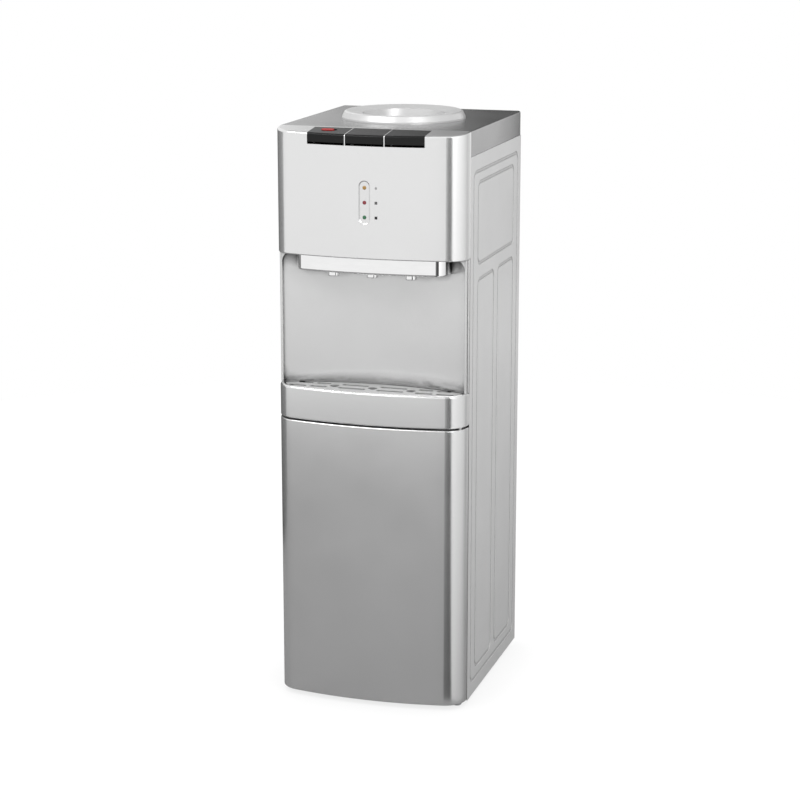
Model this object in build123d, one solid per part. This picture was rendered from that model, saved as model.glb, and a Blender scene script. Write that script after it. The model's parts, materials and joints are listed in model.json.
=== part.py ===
from build123d import *
from math import atan2, cos, degrees, radians, sin, sqrt
import os

# Top-loading, floor-standing water dispenser with a storage cabinet.
# Millimetres. +Z up, the bowed front faces -Y, +X is the user's right, the floor is z = 0.

# Casing envelope
BODY_W = 328.0
BODY_D = 388.0
BODY_H = 980.0
FOOT_H = 6.0
FOOT_R = 14.0
FOOT_INSET = 34.0
FOOT_ROUND = 1.5
FRONT_BOW = 20.0
CORNER_R = 38.0
FRONT_DEPTH = 54.0
EDGE_R = 3.5
WALL = 2.5
SHEET = 0.8
FIT = 0.3
RUNNING = 0.05
SEATED = 0.02
TOUCH = 0.01

# Storage door and its hinge
DOOR_H = 481.5
DOOR_GAP = 3.0
DOOR_SWEEP_GAP = 0.4
DOOR_EDGE_R = 2.0
LINER_T = 2.0
PIN_R = 2.5
PIN_SIDE = 9.5
PIN_BACK = 19.4
PIN_BOSS_R = 3.9
PIN_GRIP = 15.0
HINGE_PLATE_T = 2.0
HINGE_PLAY = 0.5
HINGE_TAB_H = 13.0
GASKET_W = 8.0
GASKET_RIM = 12.0
GASKET_CLEAR = 0.4
STRIKE_W = 6.0
STRIKE_H = 40.0
STRIKE_T = 1.2
CATCH_DEPTH = 8.0
CATCH_Z = 320.0

# Dispensing recess and drip tray
TRAY_DEPTH = 32.0
TRAY_FLOOR_H = 23.0
RECESS_H = 224.0
RECESS_DEPTH = 78.0
RECESS_CURVE = 28.0
STRIP_INSET = 2.0
STRIP_W = 4.0
STRIP_FRONT = 12.0
STRIP_ROUND = 1.0
GUSSET_R = 18.0
HOUSING_TAIL = 8.0
POCKET_CLEAR = 0.4
TRAY_WALL = 2.0
TRAY_LEDGE = 3.0
TRAY_DROP = 1.0
GRILLE_T = 3.0
SLOT_W = 8.0
SLOT_SPREAD = 11.5
SLOT_BAR = 6.0
SLOT_CLEAR = 2.0
SLOT_END_MARGIN = 14.0
DRAIN_HOLE_R = 8.0

# Taps
TAP_PITCH = 67.0
TAP_SETBACK = 42.0
BAND_H = 28.0
BAND_W = 262.0
BAND_SETBACK = 14.0
BAND_END_R = 24.0
NOZZLE_R = 10.0
NOZZLE_BORE_R = 4.5
NOZZLE_DROP = 9.0
NOZZLE_FLANGE_R = 13.0
NOZZLE_FLANGE_T = 2.5
NOZZLE_ROUND = 1.75
VALVE_FORWARD = 13.5
TAP_BODY_W = 26.0
TAP_BODY_H = 51.0
TAP_RIM = 5.0
TAP_BODY_R = 2.5
BARB_R = 5.0
BARB_LEN = 12.0
BARB_BELOW_TOP = 12.0
HOSE_BORE_R = 3.2

# Keys, push rods and springs
KEY_PITCH = 67.0
KEY_RIB = 1.6
KEY_PLAY = 0.35
KEY_RAIL = 5.5
KEY_LIP = 14.0
KEY_LIP_GAP = 3.8
KEY_WALL = 2.2
KEY_PIVOT_IN = 5.0
KEY_PIVOT_DOWN = 18.0
KEY_LUG_R = 4.0
KEY_LUG_T = 4.0
KEY_LUG_OFFSET = 20.0
SHAFT_R = 1.5
STRIP_DROP = 6.0
FRAME_DOWN = 40.0
ROD_R = 2.5
ROD_DEPTH = 14.0
ROD_ROOM = 6.0
ROD_TOP_DOWN = 28.0
ROD_LIFT_GAP = 0.2
COLLAR_R = 6.0
COLLAR_T = 3.0
SPRING_H = 12.0
SPRING_R = 5.2
SPRING_BORE_R = 3.2
LOCK_L = 22.0
LOCK_W = 12.0
LOCK_TRAVEL = 5.0
LOCK_SINK = 1.4
LOCK_PROUD = 1.0
LOCK_ROUND = 0.5
LOCK_OFFSET = -5.0
LOCK_BACK = 17.5

# Indicator window
PILL_W = 19.0
PILL_H = 72.0
PILL_RISE = 0.447
PILL_DEPTH = 1.2
PILL_SUNK = 0.3
LED_R = 3.2
LED_PITCH = 24.2
LED_LEN = 7.0
LED_ROUND = 1.0
BOARD_T = 1.6
BOARD_MARGIN = 4.0

# Top cover and bottle seat
SKIRT_H = 42.0
SKIRT_GAP = 0.5
COVER_CORNER_R = 6.0
SEAT_SETBACK = 167.0
SEAT_R = 105.0
SEAT_SLOPE = 4.0
SEAT_LAND = 30.0
SEAT_RISE = 13.0
SEAT_DISH = 5.0
SEAT_WALL = 2.5
SEAT_LEDGE = 7.0
BOWL_STEP = 5.0
BOWL_DEPTH = 34.0
NECK_R = 30.0
NECK_STEP = 10.0
NECK_LEN = 36.0
NECK_ROOM = 4.0
PROBE_R = 9.5
PROBE_TIP_DOWN = 22.0
PROBE_ROUND = 4.75
PROBE_BORE_R = 4.0

# Pressed steel sides
EMBOSS = 1.5
GROOVE_W = 7.0
GROOVE_R = 16.0
EMBOSS_SIDE = 17.5
EMBOSS_TOP = 25.0
EMBOSS_BOTTOM = 22.0
PANEL_SIDE = 28.0
PANEL_TOP = 19.0
UPPER_PANEL_H = 142.0
PANEL_SPLIT = 20.0
PRESS_ANGLE = 45.0
FLANGE_W = 10.0

# Base, cabinet liner and back
BASE_T = 2.0
BASE_RIM_H = 16.0
BASE_SETBACK = 4.0
LINER_FRAME = 20.0
LINER_DEPTH = 146.0
LINER_FLOOR = 20.0
LINER_HEAD = 5.0
REAR_RECESS = 22.0
BAY_H = 240.0

# Cold and hot tanks
COLD_R = 80.0
COLD_DROP = 62.0
COLD_OUTLET_X = 22.0
OUTLET_INSET = 24.0
TANK_WALL = 1.0
COIL_T = 6.0
COIL_UP = 36.0
COIL_DOWN = 12.0
FOAM_T = 18.0
DECK_T = 1.0
DECK_FRONT = 24.0
HOT_R = 50.0
HOT_BACK = 33.0
HOT_LEG_X = 25.0
JACKET_T = 14.0
TANK_GAP = 54.0
LOWER_DECK_UP = 12.0
HOT_FLOOR_GAP = 26.0
HOSE_BEND = 7.0
HOSE_WALL_GAP = 4.0

# Refrigeration and rear fittings
COMPRESSOR_R = 62.0
COMPRESSOR_H = 150.0
COMPRESSOR_X = 40.0
COMPRESSOR_FOOT_H = 12.0
COMPRESSOR_DOME_R = 41.0
COMPRESSOR_EDGE_R = 20.0
COMPRESSOR_WALL = 3.0
PUMP_R = 38.0
PUMP_H = 90.0
CONDENSER_R = 2.5
CONDENSER_PITCH = 40.0
CONDENSER_TOP_DOWN = 80.0
CONDENSER_CLEAR = 70.0
CONDENSER_W = 236.0
CONDENSER_STANDOFF = 9.0
WIRE_R = 0.75
WIRE_COUNT = 16
WIRE_MARGIN = 14.0
WIRE_GAP = 0.05
CLIP_W = 10.0
CLIP_SIDE = 24.0
CLIP_PLAY = 0.1
SWITCH_SIDE = 81.4
SWITCH_UP = 40.0
SWITCH_PLATE_W = 66.0
SWITCH_PLATE_H = 40.0
SWITCH_PLATE_T = 3.0
SWITCH_PITCH = 30.0
ROCKER_W = 19.0
ROCKER_H = 23.0
ROCKER_PROUD = 3.0
ROCKER_DIP = 1.6
ROCKER_DEPTH = 8.0
ROCKER_AXLE_R = 1.5
ROCKER_SWING_ROOM = 1.4
BEZEL_WALL = 2.0
BEZEL_DEPTH = 9.0
GLAND_X = 90.0
GLAND_R = 9.0
GLAND_HOLE_R = 4.2
GLAND_LIP = 3.0
GLAND_ROUND = 1.0
DRAIN_X = 0.0
DRAIN_R = 7.0
CAP_R = 11.0
CAP_LEN = 11.0
CAP_ROUND = 1.25
SCREW_R = 1.8
SCREW_HEAD_R = 4.0
SCREW_HEAD_T = 2.0
SCREW_ROUND = 1.0
SCREW_LEN = 8.0
SCREW_INSET = 9.0

# Places that follow from the sizes above
FRONT_Y = -BODY_D / 2
BACK_Y = BODY_D / 2
SIDE_X = BODY_W / 2
SEAM_Y = FRONT_Y + FRONT_DEPTH
BOW_R = (SIDE_X ** 2 + FRONT_BOW ** 2) / (2 * FRONT_BOW)
BOW_Y = FRONT_Y + BOW_R
INNER_X = SIDE_X - SHEET - EMBOSS - FIT
DOOR_LOW = FOOT_H + HINGE_PLATE_T + HINGE_PLAY
DOOR_TOP = DOOR_LOW + DOOR_H
DOOR_BACK = SEAM_Y - DOOR_SWEEP_GAP - (sqrt(PIN_SIDE ** 2 + PIN_BACK ** 2) - PIN_BACK)
HINGE_X = SIDE_X - PIN_SIDE
HINGE_Y = DOOR_BACK - PIN_BACK
TRAY_LOW = DOOR_TOP + DOOR_GAP
POCKET_Z = TRAY_LOW + TRAY_FLOOR_H
TRAY_TOP = POCKET_Z + TRAY_DEPTH
POCKET_RIM = STRIP_INSET + STRIP_W + POCKET_CLEAR
PANEL_LOW = TRAY_TOP + RECESS_H
SKIRT_LOW = BODY_H - SKIRT_H
STRIP_X = SIDE_X - STRIP_INSET - STRIP_W
RECESS_Y = FRONT_Y + RECESS_DEPTH
RECESS_R = (STRIP_X ** 2 + RECESS_CURVE ** 2) / (2 * RECESS_CURVE)
RECESS_CY = RECESS_Y - RECESS_R
HOUSING_BACK = RECESS_Y + HOUSING_TAIL
TAP_Y = FRONT_Y + TAP_SETBACK
VALVE_Y = TAP_Y - VALVE_FORWARD
BAND_LOW = PANEL_LOW - BAND_H
NOZZLE_LOW = BAND_LOW - NOZZLE_DROP
TAP_LOW = BAND_LOW + WALL + NOZZLE_FLANGE_T
TAP_TOP = TAP_LOW + TAP_BODY_H
TAP_BACK = TAP_Y + TAP_BODY_W / 2
BARB_END = TAP_BACK + BARB_LEN
BARB_Z = TAP_TOP - BARB_BELOW_TOP
TAPS = (("hot", -TAP_PITCH), ("normal", 0.0), ("cold", TAP_PITCH))
KEYS = (("hot", -KEY_PITCH), ("normal", 0.0), ("cold", KEY_PITCH))
KEY_RIBS = [(n - len(KEYS) / 2) * KEY_PITCH for n in range(len(KEYS) + 1)]
KEY_W = KEY_PITCH - KEY_RIB - 2 * KEY_PLAY
KEY_BACK = SEAM_Y - KEY_RAIL
KEY_LOW = BODY_H - STRIP_DROP - KEY_LIP
PIVOT_Y = KEY_BACK - KEY_PIVOT_IN
PIVOT_Z = BODY_H - KEY_PIVOT_DOWN
STRIP_ANGLE = degrees(atan2(STRIP_DROP, FRONT_DEPTH))
FRAME_Z = BODY_H - FRAME_DOWN
ROD_TOP = BODY_H - ROD_TOP_DOWN
PILL_Z = PANEL_LOW + PILL_RISE * (BODY_H - PANEL_LOW)
LEDS = {"power": LED_PITCH, "heating": 0.0, "cooling": -LED_PITCH}
SEAT_Y = SEAM_Y + SEAT_SETBACK
SEAT_RIM_R = SEAT_R - SEAT_SLOPE
SEAT_LIP_R = SEAT_RIM_R - SEAT_LAND
SEAT_HOLE_R = SEAT_RIM_R - SEAT_LEDGE
BOWL_R = SEAT_LIP_R - BOWL_STEP
NECK_TOP = BODY_H - BOWL_DEPTH - NECK_STEP
NECK_LOW = NECK_TOP - NECK_LEN
BASE_Y = SEAM_Y + BASE_SETBACK
LINER_BACK = SEAM_Y + LINER_DEPTH
LINER_LOW = FOOT_H + LINER_FLOOR
LINER_TOP = DOOR_TOP - LINER_HEAD
REAR_Y = BACK_Y - REAR_RECESS
REAR_FACE = REAR_Y + SHEET
COLD_TOP = NECK_LOW - NECK_ROOM
COLD_LOW = BARB_Z - COLD_DROP
COIL_R = COLD_R + COIL_T
FOAM_R = COIL_R + FIT + FOAM_T
FOAM_LOW = COLD_LOW - FOAM_T
UPPER_DECK_Z = FOAM_LOW - DECK_T
LOWER_DECK_Z = TRAY_LOW + LOWER_DECK_UP
HOT_Y = SEAT_Y + HOT_BACK
HOT_LOW = LOWER_DECK_Z + DECK_T + HOT_FLOOR_GAP
HOT_TOP = UPPER_DECK_Z - TANK_GAP
JACKET_R = HOT_R + FIT + JACKET_T
HOT_BARB_Z = HOT_TOP - JACKET_T
COMPRESSOR_Y = (LINER_BACK + LINER_T + REAR_Y) / 2
COMPRESSOR_Z = FOOT_H + BASE_T + COMPRESSOR_FOOT_H
CONDENSER_Y = REAR_FACE + CONDENSER_STANDOFF
CONDENSER_TOP = BODY_H - CONDENSER_TOP_DOWN
BAY_TOP = FOOT_H + BAY_H
SWITCH_X = SWITCH_SIDE - INNER_X
SWITCH_Z = BAY_TOP + SWITCH_UP
CONDENSER_ROOM = CONDENSER_TOP - SWITCH_Z - SWITCH_PLATE_H / 2 - CONDENSER_CLEAR
CONDENSER_PASSES = int(CONDENSER_ROOM / CONDENSER_PITCH) + 1
CONDENSER_LOW = CONDENSER_TOP - (CONDENSER_PASSES - 1) * CONDENSER_PITCH


def block(x_low, x_high, y_low, y_high, z_low, z_high):
    middle = Pos((x_low + x_high) / 2, (y_low + y_high) / 2, (z_low + z_high) / 2)
    return middle * Box(x_high - x_low, y_high - y_low, z_high - z_low)


def post(radius, x, y, z_low, z_high):
    return Pos(x, y, (z_low + z_high) / 2) * Cylinder(radius, z_high - z_low)


def rod_x(radius, x_low, x_high, y, z):
    return Pos((x_low + x_high) / 2, y, z) * Rot(0, 90, 0) * Cylinder(radius, x_high - x_low)


def rod_y(radius, x, y_low, y_high, z):
    return Pos(x, (y_low + y_high) / 2, z) * Rot(90, 0, 0) * Cylinder(radius, y_high - y_low)


def prism(plan, z_low, z_high):
    return Pos(0, 0, z_low) * extrude(plan, z_high - z_low, dir=(0, 0, 1))


def front_plan(inset, y_back):
    """Plan of the bowed front, moved in from its skin by inset and cut straight at y_back."""
    radius = BOW_R - inset
    half = SIDE_X - inset
    y_side = BOW_Y - sqrt(radius ** 2 - half ** 2)
    outline = [
        ThreePointArc((-half, y_side), (0, BOW_Y - radius), (half, y_side)),
        Line((half, y_side), (half, y_back)),
        Line((half, y_back), (-half, y_back)),
        Line((-half, y_back), (-half, y_side)),
    ]
    plan = make_face(outline)
    corners = plan.vertices().group_by(Axis.Y)[0]
    return fillet(corners, CORNER_R - inset)


def rim_edges(solid, z, y_limit):
    """Edges of a bowed prism at height z that lie ahead of y_limit."""
    level = [edge for edge in solid.edges() if abs(edge.center().Z - z) < TOUCH]
    return [edge for edge in level if edge.center().Y < y_limit - TOUCH]


def strip_wedge(down):
    """Everything above the sloping front strip, lowered by down."""
    reach = 2 * FRONT_DEPTH
    z_front = BODY_H - STRIP_DROP * reach / FRONT_DEPTH
    points = [
        (SEAM_Y + FRONT_DEPTH, BODY_H - down),
        (SEAM_Y, BODY_H - down),
        (SEAM_Y - reach, z_front - down),
        (SEAM_Y - reach, BODY_H + FRONT_DEPTH),
        (SEAM_Y + FRONT_DEPTH, BODY_H + FRONT_DEPTH),
    ]
    return extrude(Plane.YZ * make_face(Polyline(*points, close=True)), BODY_W, both=True)


def upper_front_skin():
    """Outer volume of the upper front: bowed panel, rounded top edge and sloping strip."""
    solid = prism(front_plan(0, SEAM_Y), PANEL_LOW, BODY_H) - strip_wedge(0)
    top = solid.faces().sort_by(Axis.Z)[-1]
    edges = [edge for edge in top.edges() if edge.center().Y < SEAM_Y - TOUCH]
    solid = fillet(edges, EDGE_R)
    return fillet(rim_edges(solid, PANEL_LOW, SEAM_Y), DOOR_EDGE_R)


def upper_front_core():
    """Hollow behind the upper front's walls."""
    core = prism(front_plan(WALL, SEAM_Y + WALL), PANEL_LOW + WALL, BODY_H)
    return core - strip_wedge(WALL)


def key_box(x, play, z_low):
    half = KEY_W / 2 + play
    return block(x - half, x + half, FRONT_Y - WALL, KEY_BACK + play, z_low, BODY_H + WALL)


def stadium_y(length, width, x, z, y_low, y_high):
    """Upright stadium prism whose flat ends face the front and the back."""
    face = Plane.XZ * Pos(x, z) * Rot(0, 0, 90) * SlotOverall(length, width)
    return Pos(0, y_high, 0) * extrude(face, y_high - y_low, dir=(0, -1, 0))


def led_hole(rise):
    return rod_y(LED_R + FIT / 2, 0, FRONT_Y - WALL, FRONT_Y + 2 * WALL, PILL_Z + rise)


def front_panel(skin, core):
    panel = skin - core
    for _, x in KEYS:
        panel -= key_box(x, KEY_PLAY, KEY_LOW - KEY_LIP_GAP)
    panel -= stadium_y(PILL_H, PILL_W, 0, PILL_Z, FRONT_Y - WALL, FRONT_Y + PILL_DEPTH)
    for rise in LEDS.values():
        panel -= led_hole(rise)
    window = BAND_W / 2 - TAP_RIM - WALL
    return panel - block(
        -window, window, VALVE_Y - TAP_RIM - FIT, SEAM_Y + WALL, PANEL_LOW - WALL, PANEL_LOW + 2 * WALL)


def indicator_plate():
    y_low = FRONT_Y + PILL_SUNK
    plate = stadium_y(PILL_H - FIT, PILL_W - FIT, 0, PILL_Z, y_low, FRONT_Y + PILL_DEPTH)
    for rise in LEDS.values():
        plate -= led_hole(rise)
    return plate


def indicator_led(rise):
    lens = rod_y(LED_R, 0, FRONT_Y, FRONT_Y + LED_LEN, PILL_Z + rise)
    return fillet(lens.edges().group_by(Axis.Y)[0], LED_ROUND)


def indicator_board():
    half = PILL_W / 2 - BOARD_MARGIN / 2
    reach = LED_PITCH + LED_R + BOARD_MARGIN
    y_low = FRONT_Y + LED_LEN
    return block(-half, half, y_low, y_low + BOARD_T, PILL_Z - reach, PILL_Z + reach)


def lock_plane(x):
    """Plane on the sloping strip at the middle of the child lock's travel."""
    y = KEY_BACK - LOCK_BACK
    z = BODY_H - STRIP_DROP * (SEAM_Y - y) / FRONT_DEPTH
    tilt = radians(STRIP_ANGLE)
    return Plane(origin=(x + LOCK_OFFSET, y, z), x_dir=(1, 0, 0), z_dir=(0, -sin(tilt), cos(tilt)))


def lock_pocket(x):
    place = lock_plane(x) * Pos(LOCK_TRAVEL / 2, 0, -LOCK_SINK)
    face = SlotOverall(LOCK_L + LOCK_TRAVEL + 2 * FIT, LOCK_W + 2 * FIT)
    return place * extrude(face, 2 * LOCK_SINK, dir=(0, 0, 1))


def child_lock(x):
    height = LOCK_SINK + LOCK_PROUD
    knob = extrude(SlotOverall(LOCK_L, LOCK_W), height, dir=(0, 0, 1))
    knob = fillet(knob.edges().group_by(Axis.Z)[-1], LOCK_ROUND)
    return lock_plane(x) * Pos(0, 0, -LOCK_SINK) * knob


def key(name, x, skin, core):
    half = KEY_W / 2 - KEY_WALL
    shell = skin & key_box(x, 0, KEY_LOW)
    hollow = block(x - half, x + half, FRONT_Y, KEY_BACK - KEY_WALL, KEY_LOW - WALL, BODY_H)
    roof = core & block(x - half, x + half, FRONT_Y, KEY_BACK - KEY_WALL, ROD_TOP, BODY_H)
    body = shell - (hollow & core)
    body += roof & post(KEY_LUG_R, x, VALVE_Y, ROD_TOP, BODY_H)
    for side in (-1, 1):
        lug_x = x + side * KEY_LUG_OFFSET
        lug = rod_x(KEY_LUG_R, lug_x - KEY_LUG_T / 2, lug_x + KEY_LUG_T / 2, PIVOT_Y, PIVOT_Z)
        web = block(
            lug_x - KEY_LUG_T / 2, lug_x + KEY_LUG_T / 2,
            PIVOT_Y - KEY_LUG_R, PIVOT_Y + KEY_LUG_R, PIVOT_Z, BODY_H)
        body += lug + (web & skin)
    body -= rod_x(SHAFT_R + RUNNING, x - KEY_W, x + KEY_W, PIVOT_Y, PIVOT_Z)
    if name == "hot":
        body -= lock_pocket(x)
    return body


def key_frame():
    frame = prism(front_plan(WALL + FIT, SEAM_Y - FIT), FRAME_Z, FRAME_Z + WALL)
    for x in KEY_RIBS:
        lug = block(
            x - KEY_RIB / 2, x + KEY_RIB / 2, PIVOT_Y - KEY_LUG_R, PIVOT_Y + KEY_LUG_R, FRAME_Z, PIVOT_Z)
        frame += lug + rod_x(KEY_LUG_R, x - KEY_RIB / 2, x + KEY_RIB / 2, PIVOT_Y, PIVOT_Z)
    frame -= rod_x(SHAFT_R + SEATED, -2 * KEY_PITCH, 2 * KEY_PITCH, PIVOT_Y, PIVOT_Z)
    for _, x in TAPS:
        frame -= post(ROD_R + RUNNING, x, VALVE_Y, FRAME_Z - WALL, FRAME_Z + 2 * WALL)
    return frame


def key_shaft():
    reach = KEY_RIBS[-1] + KEY_RIB / 2
    return rod_x(SHAFT_R, -reach, reach, PIVOT_Y, PIVOT_Z)


def push_rod(x):
    collar_z = TAP_TOP + SPRING_H
    stem = post(ROD_R, x, VALVE_Y, TAP_TOP - ROD_DEPTH, ROD_TOP - ROD_LIFT_GAP)
    return stem + post(COLLAR_R, x, VALVE_Y, collar_z, collar_z + COLLAR_T)


def valve_spring(x):
    sleeve = post(SPRING_R, x, VALVE_Y, TAP_TOP, TAP_TOP + SPRING_H)
    return sleeve - post(SPRING_BORE_R, x, VALVE_Y, TAP_TOP, TAP_TOP + SPRING_H)


def tap_body(x):
    half = TAP_BODY_W / 2
    body = block(x - half, x + half, VALVE_Y - TAP_RIM, TAP_BACK, TAP_LOW, TAP_TOP)
    body = fillet(body.edges().filter_by(Axis.Z), TAP_BODY_R)
    body += rod_y(BARB_R, x, TAP_BACK, BARB_END, BARB_Z)
    body -= rod_y(HOSE_BORE_R, x, TAP_Y, BARB_END, BARB_Z)
    body -= post(NOZZLE_BORE_R, x, TAP_Y, TAP_LOW, BARB_Z)
    body -= post(ROD_R + RUNNING, x, VALVE_Y, TAP_TOP - ROD_DEPTH - ROD_ROOM, TAP_TOP)
    return body


def nozzle(x):
    floor = BAND_LOW + WALL
    spout = post(NOZZLE_R, x, TAP_Y, NOZZLE_LOW, floor)
    spout = fillet(spout.edges().group_by(Axis.Z)[0], NOZZLE_ROUND)
    spout += post(NOZZLE_FLANGE_R, x, TAP_Y, floor, TAP_LOW)
    return spout - post(NOZZLE_BORE_R, x, TAP_Y, NOZZLE_LOW, TAP_LOW)


def band_plan(inset, y_back):
    """Plan of the tap band: a bow parallel to the front with rounded ends."""
    radius = BOW_R - BAND_SETBACK - inset
    half = BAND_W / 2 - inset
    y_side = BOW_Y - sqrt(radius ** 2 - half ** 2)
    outline = [
        ThreePointArc((-half, y_side), (0, BOW_Y - radius), (half, y_side)),
        Line((half, y_side), (half, y_back)),
        Line((half, y_back), (-half, y_back)),
        Line((-half, y_back), (-half, y_side)),
    ]
    plan = make_face(outline)
    return fillet(plan.vertices().group_by(Axis.Y)[0], BAND_END_R - inset)


def recess_disc(gap):
    """Circle of the concave recess wall, drawn in by gap."""
    return Pos(0, RECESS_CY) * Circle(RECESS_R - gap)


def tap_housing():
    outer = prism(band_plan(0, RECESS_Y) & recess_disc(FIT), BAND_LOW, PANEL_LOW - FIT)
    rounded = [edge for edge in outer.edges().group_by(Axis.Z)[0] if edge.center().Y < TAP_Y]
    outer = fillet(rounded, EDGE_R)
    inner = prism(band_plan(WALL, RECESS_Y) & recess_disc(FIT + WALL), BAND_LOW + WALL, PANEL_LOW)
    housing = outer - inner
    for _, x in TAPS:
        housing -= post(NOZZLE_R + FIT, x, TAP_Y, BAND_LOW - WALL, BAND_LOW + 2 * WALL)
    return housing


def recess_panel():
    z_low = TRAY_TOP
    z_high = PANEL_LOW - FIT
    outer_x = SIDE_X - STRIP_INSET
    wall = recess_disc(-WALL) - recess_disc(0)
    wall &= Pos(0, RECESS_CY + RECESS_R) * Rectangle(2 * outer_x, 2 * RECESS_CURVE + 2 * STRIP_FRONT)
    panel = prism(wall, z_low, z_high)
    strip_y = SEAM_Y - STRIP_FRONT
    for side in (-1, 1):
        x_low, x_high = sorted((side * STRIP_X, side * outer_x))
        strip = block(x_low, x_high, strip_y, SEAM_Y - FIT, z_low, z_high)
        front = [edge for edge in strip.edges().filter_by(Axis.Z) if edge.center().Y < strip_y + FIT]
        panel += fillet(front, STRIP_ROUND)
        near, far = sorted((side * STRIP_X, side * (STRIP_X - GUSSET_R)))
        gusset = block(near, far, strip_y, SEAM_Y - FIT, z_high - GUSSET_R, z_high)
        gusset -= rod_y(GUSSET_R, side * (STRIP_X - GUSSET_R), strip_y - WALL, SEAM_Y, z_high - GUSSET_R)
        panel += gusset
    return panel


def tray_plan(inset):
    """Lens-shaped plan between the bowed front and the concave recess wall."""
    return front_plan(POCKET_RIM + inset, RECESS_Y + WALL) & recess_disc(FIT + inset)


def tray_housing():
    shell = prism(front_plan(0, SEAM_Y - FIT), TRAY_LOW, TRAY_TOP)
    shell = fillet(rim_edges(shell, TRAY_TOP, SEAM_Y - FIT), EDGE_R)
    shell = fillet(rim_edges(shell, TRAY_LOW, SEAM_Y - FIT), DOOR_EDGE_R)
    shell += block(-INNER_X, INNER_X, SEAM_Y - WALL, HOUSING_BACK, TRAY_LOW, TRAY_TOP)
    ceiling = POCKET_Z - WALL
    hollow = prism(front_plan(WALL, SEAM_Y), TRAY_LOW + WALL, ceiling)
    half = INNER_X - WALL
    hollow += block(-half, half, SEAM_Y - WALL, HOUSING_BACK + WALL, TRAY_LOW + WALL, ceiling)
    shell -= hollow
    shell -= prism(tray_plan(0), POCKET_Z, TRAY_TOP + WALL)
    shell += post(PIN_BOSS_R, HINGE_X, HINGE_Y, TRAY_LOW, ceiling)
    return shell - post(PIN_R + SEATED, HINGE_X, HINGE_Y, TRAY_LOW - WALL, TRAY_LOW + PIN_GRIP)


def drip_tray():
    top = TRAY_TOP - TRAY_DROP
    ledge = top - GRILLE_T
    tray = prism(tray_plan(FIT), POCKET_Z, top)
    tray -= prism(tray_plan(FIT + TRAY_WALL), ledge, top + WALL)
    return tray - prism(tray_plan(FIT + TRAY_WALL + TRAY_LEDGE), POCKET_Z + TRAY_WALL, top)


def grille_slot(x_low, x_high, y):
    z = TRAY_TOP - TRAY_DROP - 2 * GRILLE_T
    face = Pos((x_low + x_high) / 2, y) * SlotOverall(x_high - x_low, SLOT_W)
    return prism(face, z, TRAY_TOP + WALL)


def slot_spans(y):
    """Three slots on the right of one row: up to the drain hole, and two beyond it."""
    bow = sqrt((BOW_R - POCKET_RIM) ** 2 - (BOW_Y - y) ** 2)
    wall = sqrt(RECESS_R ** 2 - (y - RECESS_CY) ** 2)
    end = min(bow, wall, SIDE_X - POCKET_RIM) - SLOT_END_MARGIN
    room = DRAIN_HOLE_R + SLOT_CLEAR
    start = TAP_PITCH + room
    split = (start + end) / 2
    return (room, TAP_PITCH - room), (start, split - SLOT_BAR / 2), (split + SLOT_BAR / 2, end)


def drip_grille():
    top = TRAY_TOP - TRAY_DROP
    grille = prism(tray_plan(2 * FIT + TRAY_WALL), top - GRILLE_T, top)
    for row in (-1, 1):
        y = TAP_Y + row * SLOT_SPREAD
        for x_low, x_high in slot_spans(y):
            grille -= grille_slot(x_low, x_high, y)
            grille -= grille_slot(-x_high, -x_low, y)
    for _, x in TAPS:
        grille -= post(DRAIN_HOLE_R, x, TAP_Y, top - 2 * GRILLE_T, top + WALL)
    return grille


def door_shell():
    shell = prism(front_plan(0, DOOR_BACK), DOOR_LOW, DOOR_TOP)
    shell = fillet(rim_edges(shell, DOOR_TOP, DOOR_BACK), DOOR_EDGE_R)
    shell = fillet(rim_edges(shell, DOOR_LOW, DOOR_BACK), DOOR_EDGE_R)
    shell -= prism(front_plan(WALL, DOOR_BACK + WALL), DOOR_LOW + WALL, DOOR_TOP - WALL)
    depth = PIN_GRIP + HINGE_PLAY
    boss_low = post(PIN_BOSS_R, HINGE_X, HINGE_Y, DOOR_LOW, DOOR_LOW + depth + WALL)
    boss_high = post(PIN_BOSS_R, HINGE_X, HINGE_Y, DOOR_TOP - depth - WALL, DOOR_TOP)
    shell += boss_low + boss_high
    shell -= post(PIN_R + RUNNING, HINGE_X, HINGE_Y, DOOR_LOW - WALL, DOOR_LOW + depth)
    return shell - post(PIN_R + RUNNING, HINGE_X, HINGE_Y, DOOR_TOP - depth, DOOR_TOP + WALL)


def door_liner_front():
    return DOOR_BACK - LINER_T - WALL


def door_liner():
    half = SIDE_X - WALL - FIT
    y_low = door_liner_front()
    low = DOOR_LOW + WALL + FIT
    high = DOOR_TOP - WALL - FIT
    panel = block(-half, half, y_low, y_low + LINER_T, low, high)
    return fillet(panel.edges().filter_by(Axis.Y), EDGE_R)


def gasket_bounds(inset):
    half = SIDE_X - WALL - GASKET_RIM - inset
    low = DOOR_LOW + WALL + GASKET_RIM + inset
    high = DOOR_TOP - WALL - GASKET_RIM - inset
    return half, low, high


def door_gasket():
    y_low = door_liner_front() + LINER_T
    y_high = SEAM_Y - GASKET_CLEAR
    half, low, high = gasket_bounds(0)
    ring = block(-half, half, y_low, y_high, low, high)
    half, low, high = gasket_bounds(GASKET_W)
    return ring - block(-half, half, y_low - WALL, y_high + WALL, low, high)


def strike_plate():
    x_high = -(SIDE_X - WALL - GASKET_RIM) - FIT
    y_low = door_liner_front() + LINER_T
    z_low = CATCH_Z - STRIKE_H / 2
    return block(x_high - STRIKE_W, x_high, y_low, y_low + STRIKE_T, z_low, z_low + STRIKE_H)


def magnet_catch():
    x_high = -(SIDE_X - WALL - GASKET_RIM) - FIT
    y_low = SEAM_Y + LINER_T
    z_low = CATCH_Z - STRIKE_H / 2
    return block(x_high - STRIKE_W, x_high, y_low, y_low + CATCH_DEPTH, z_low, z_low + STRIKE_H)


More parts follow.
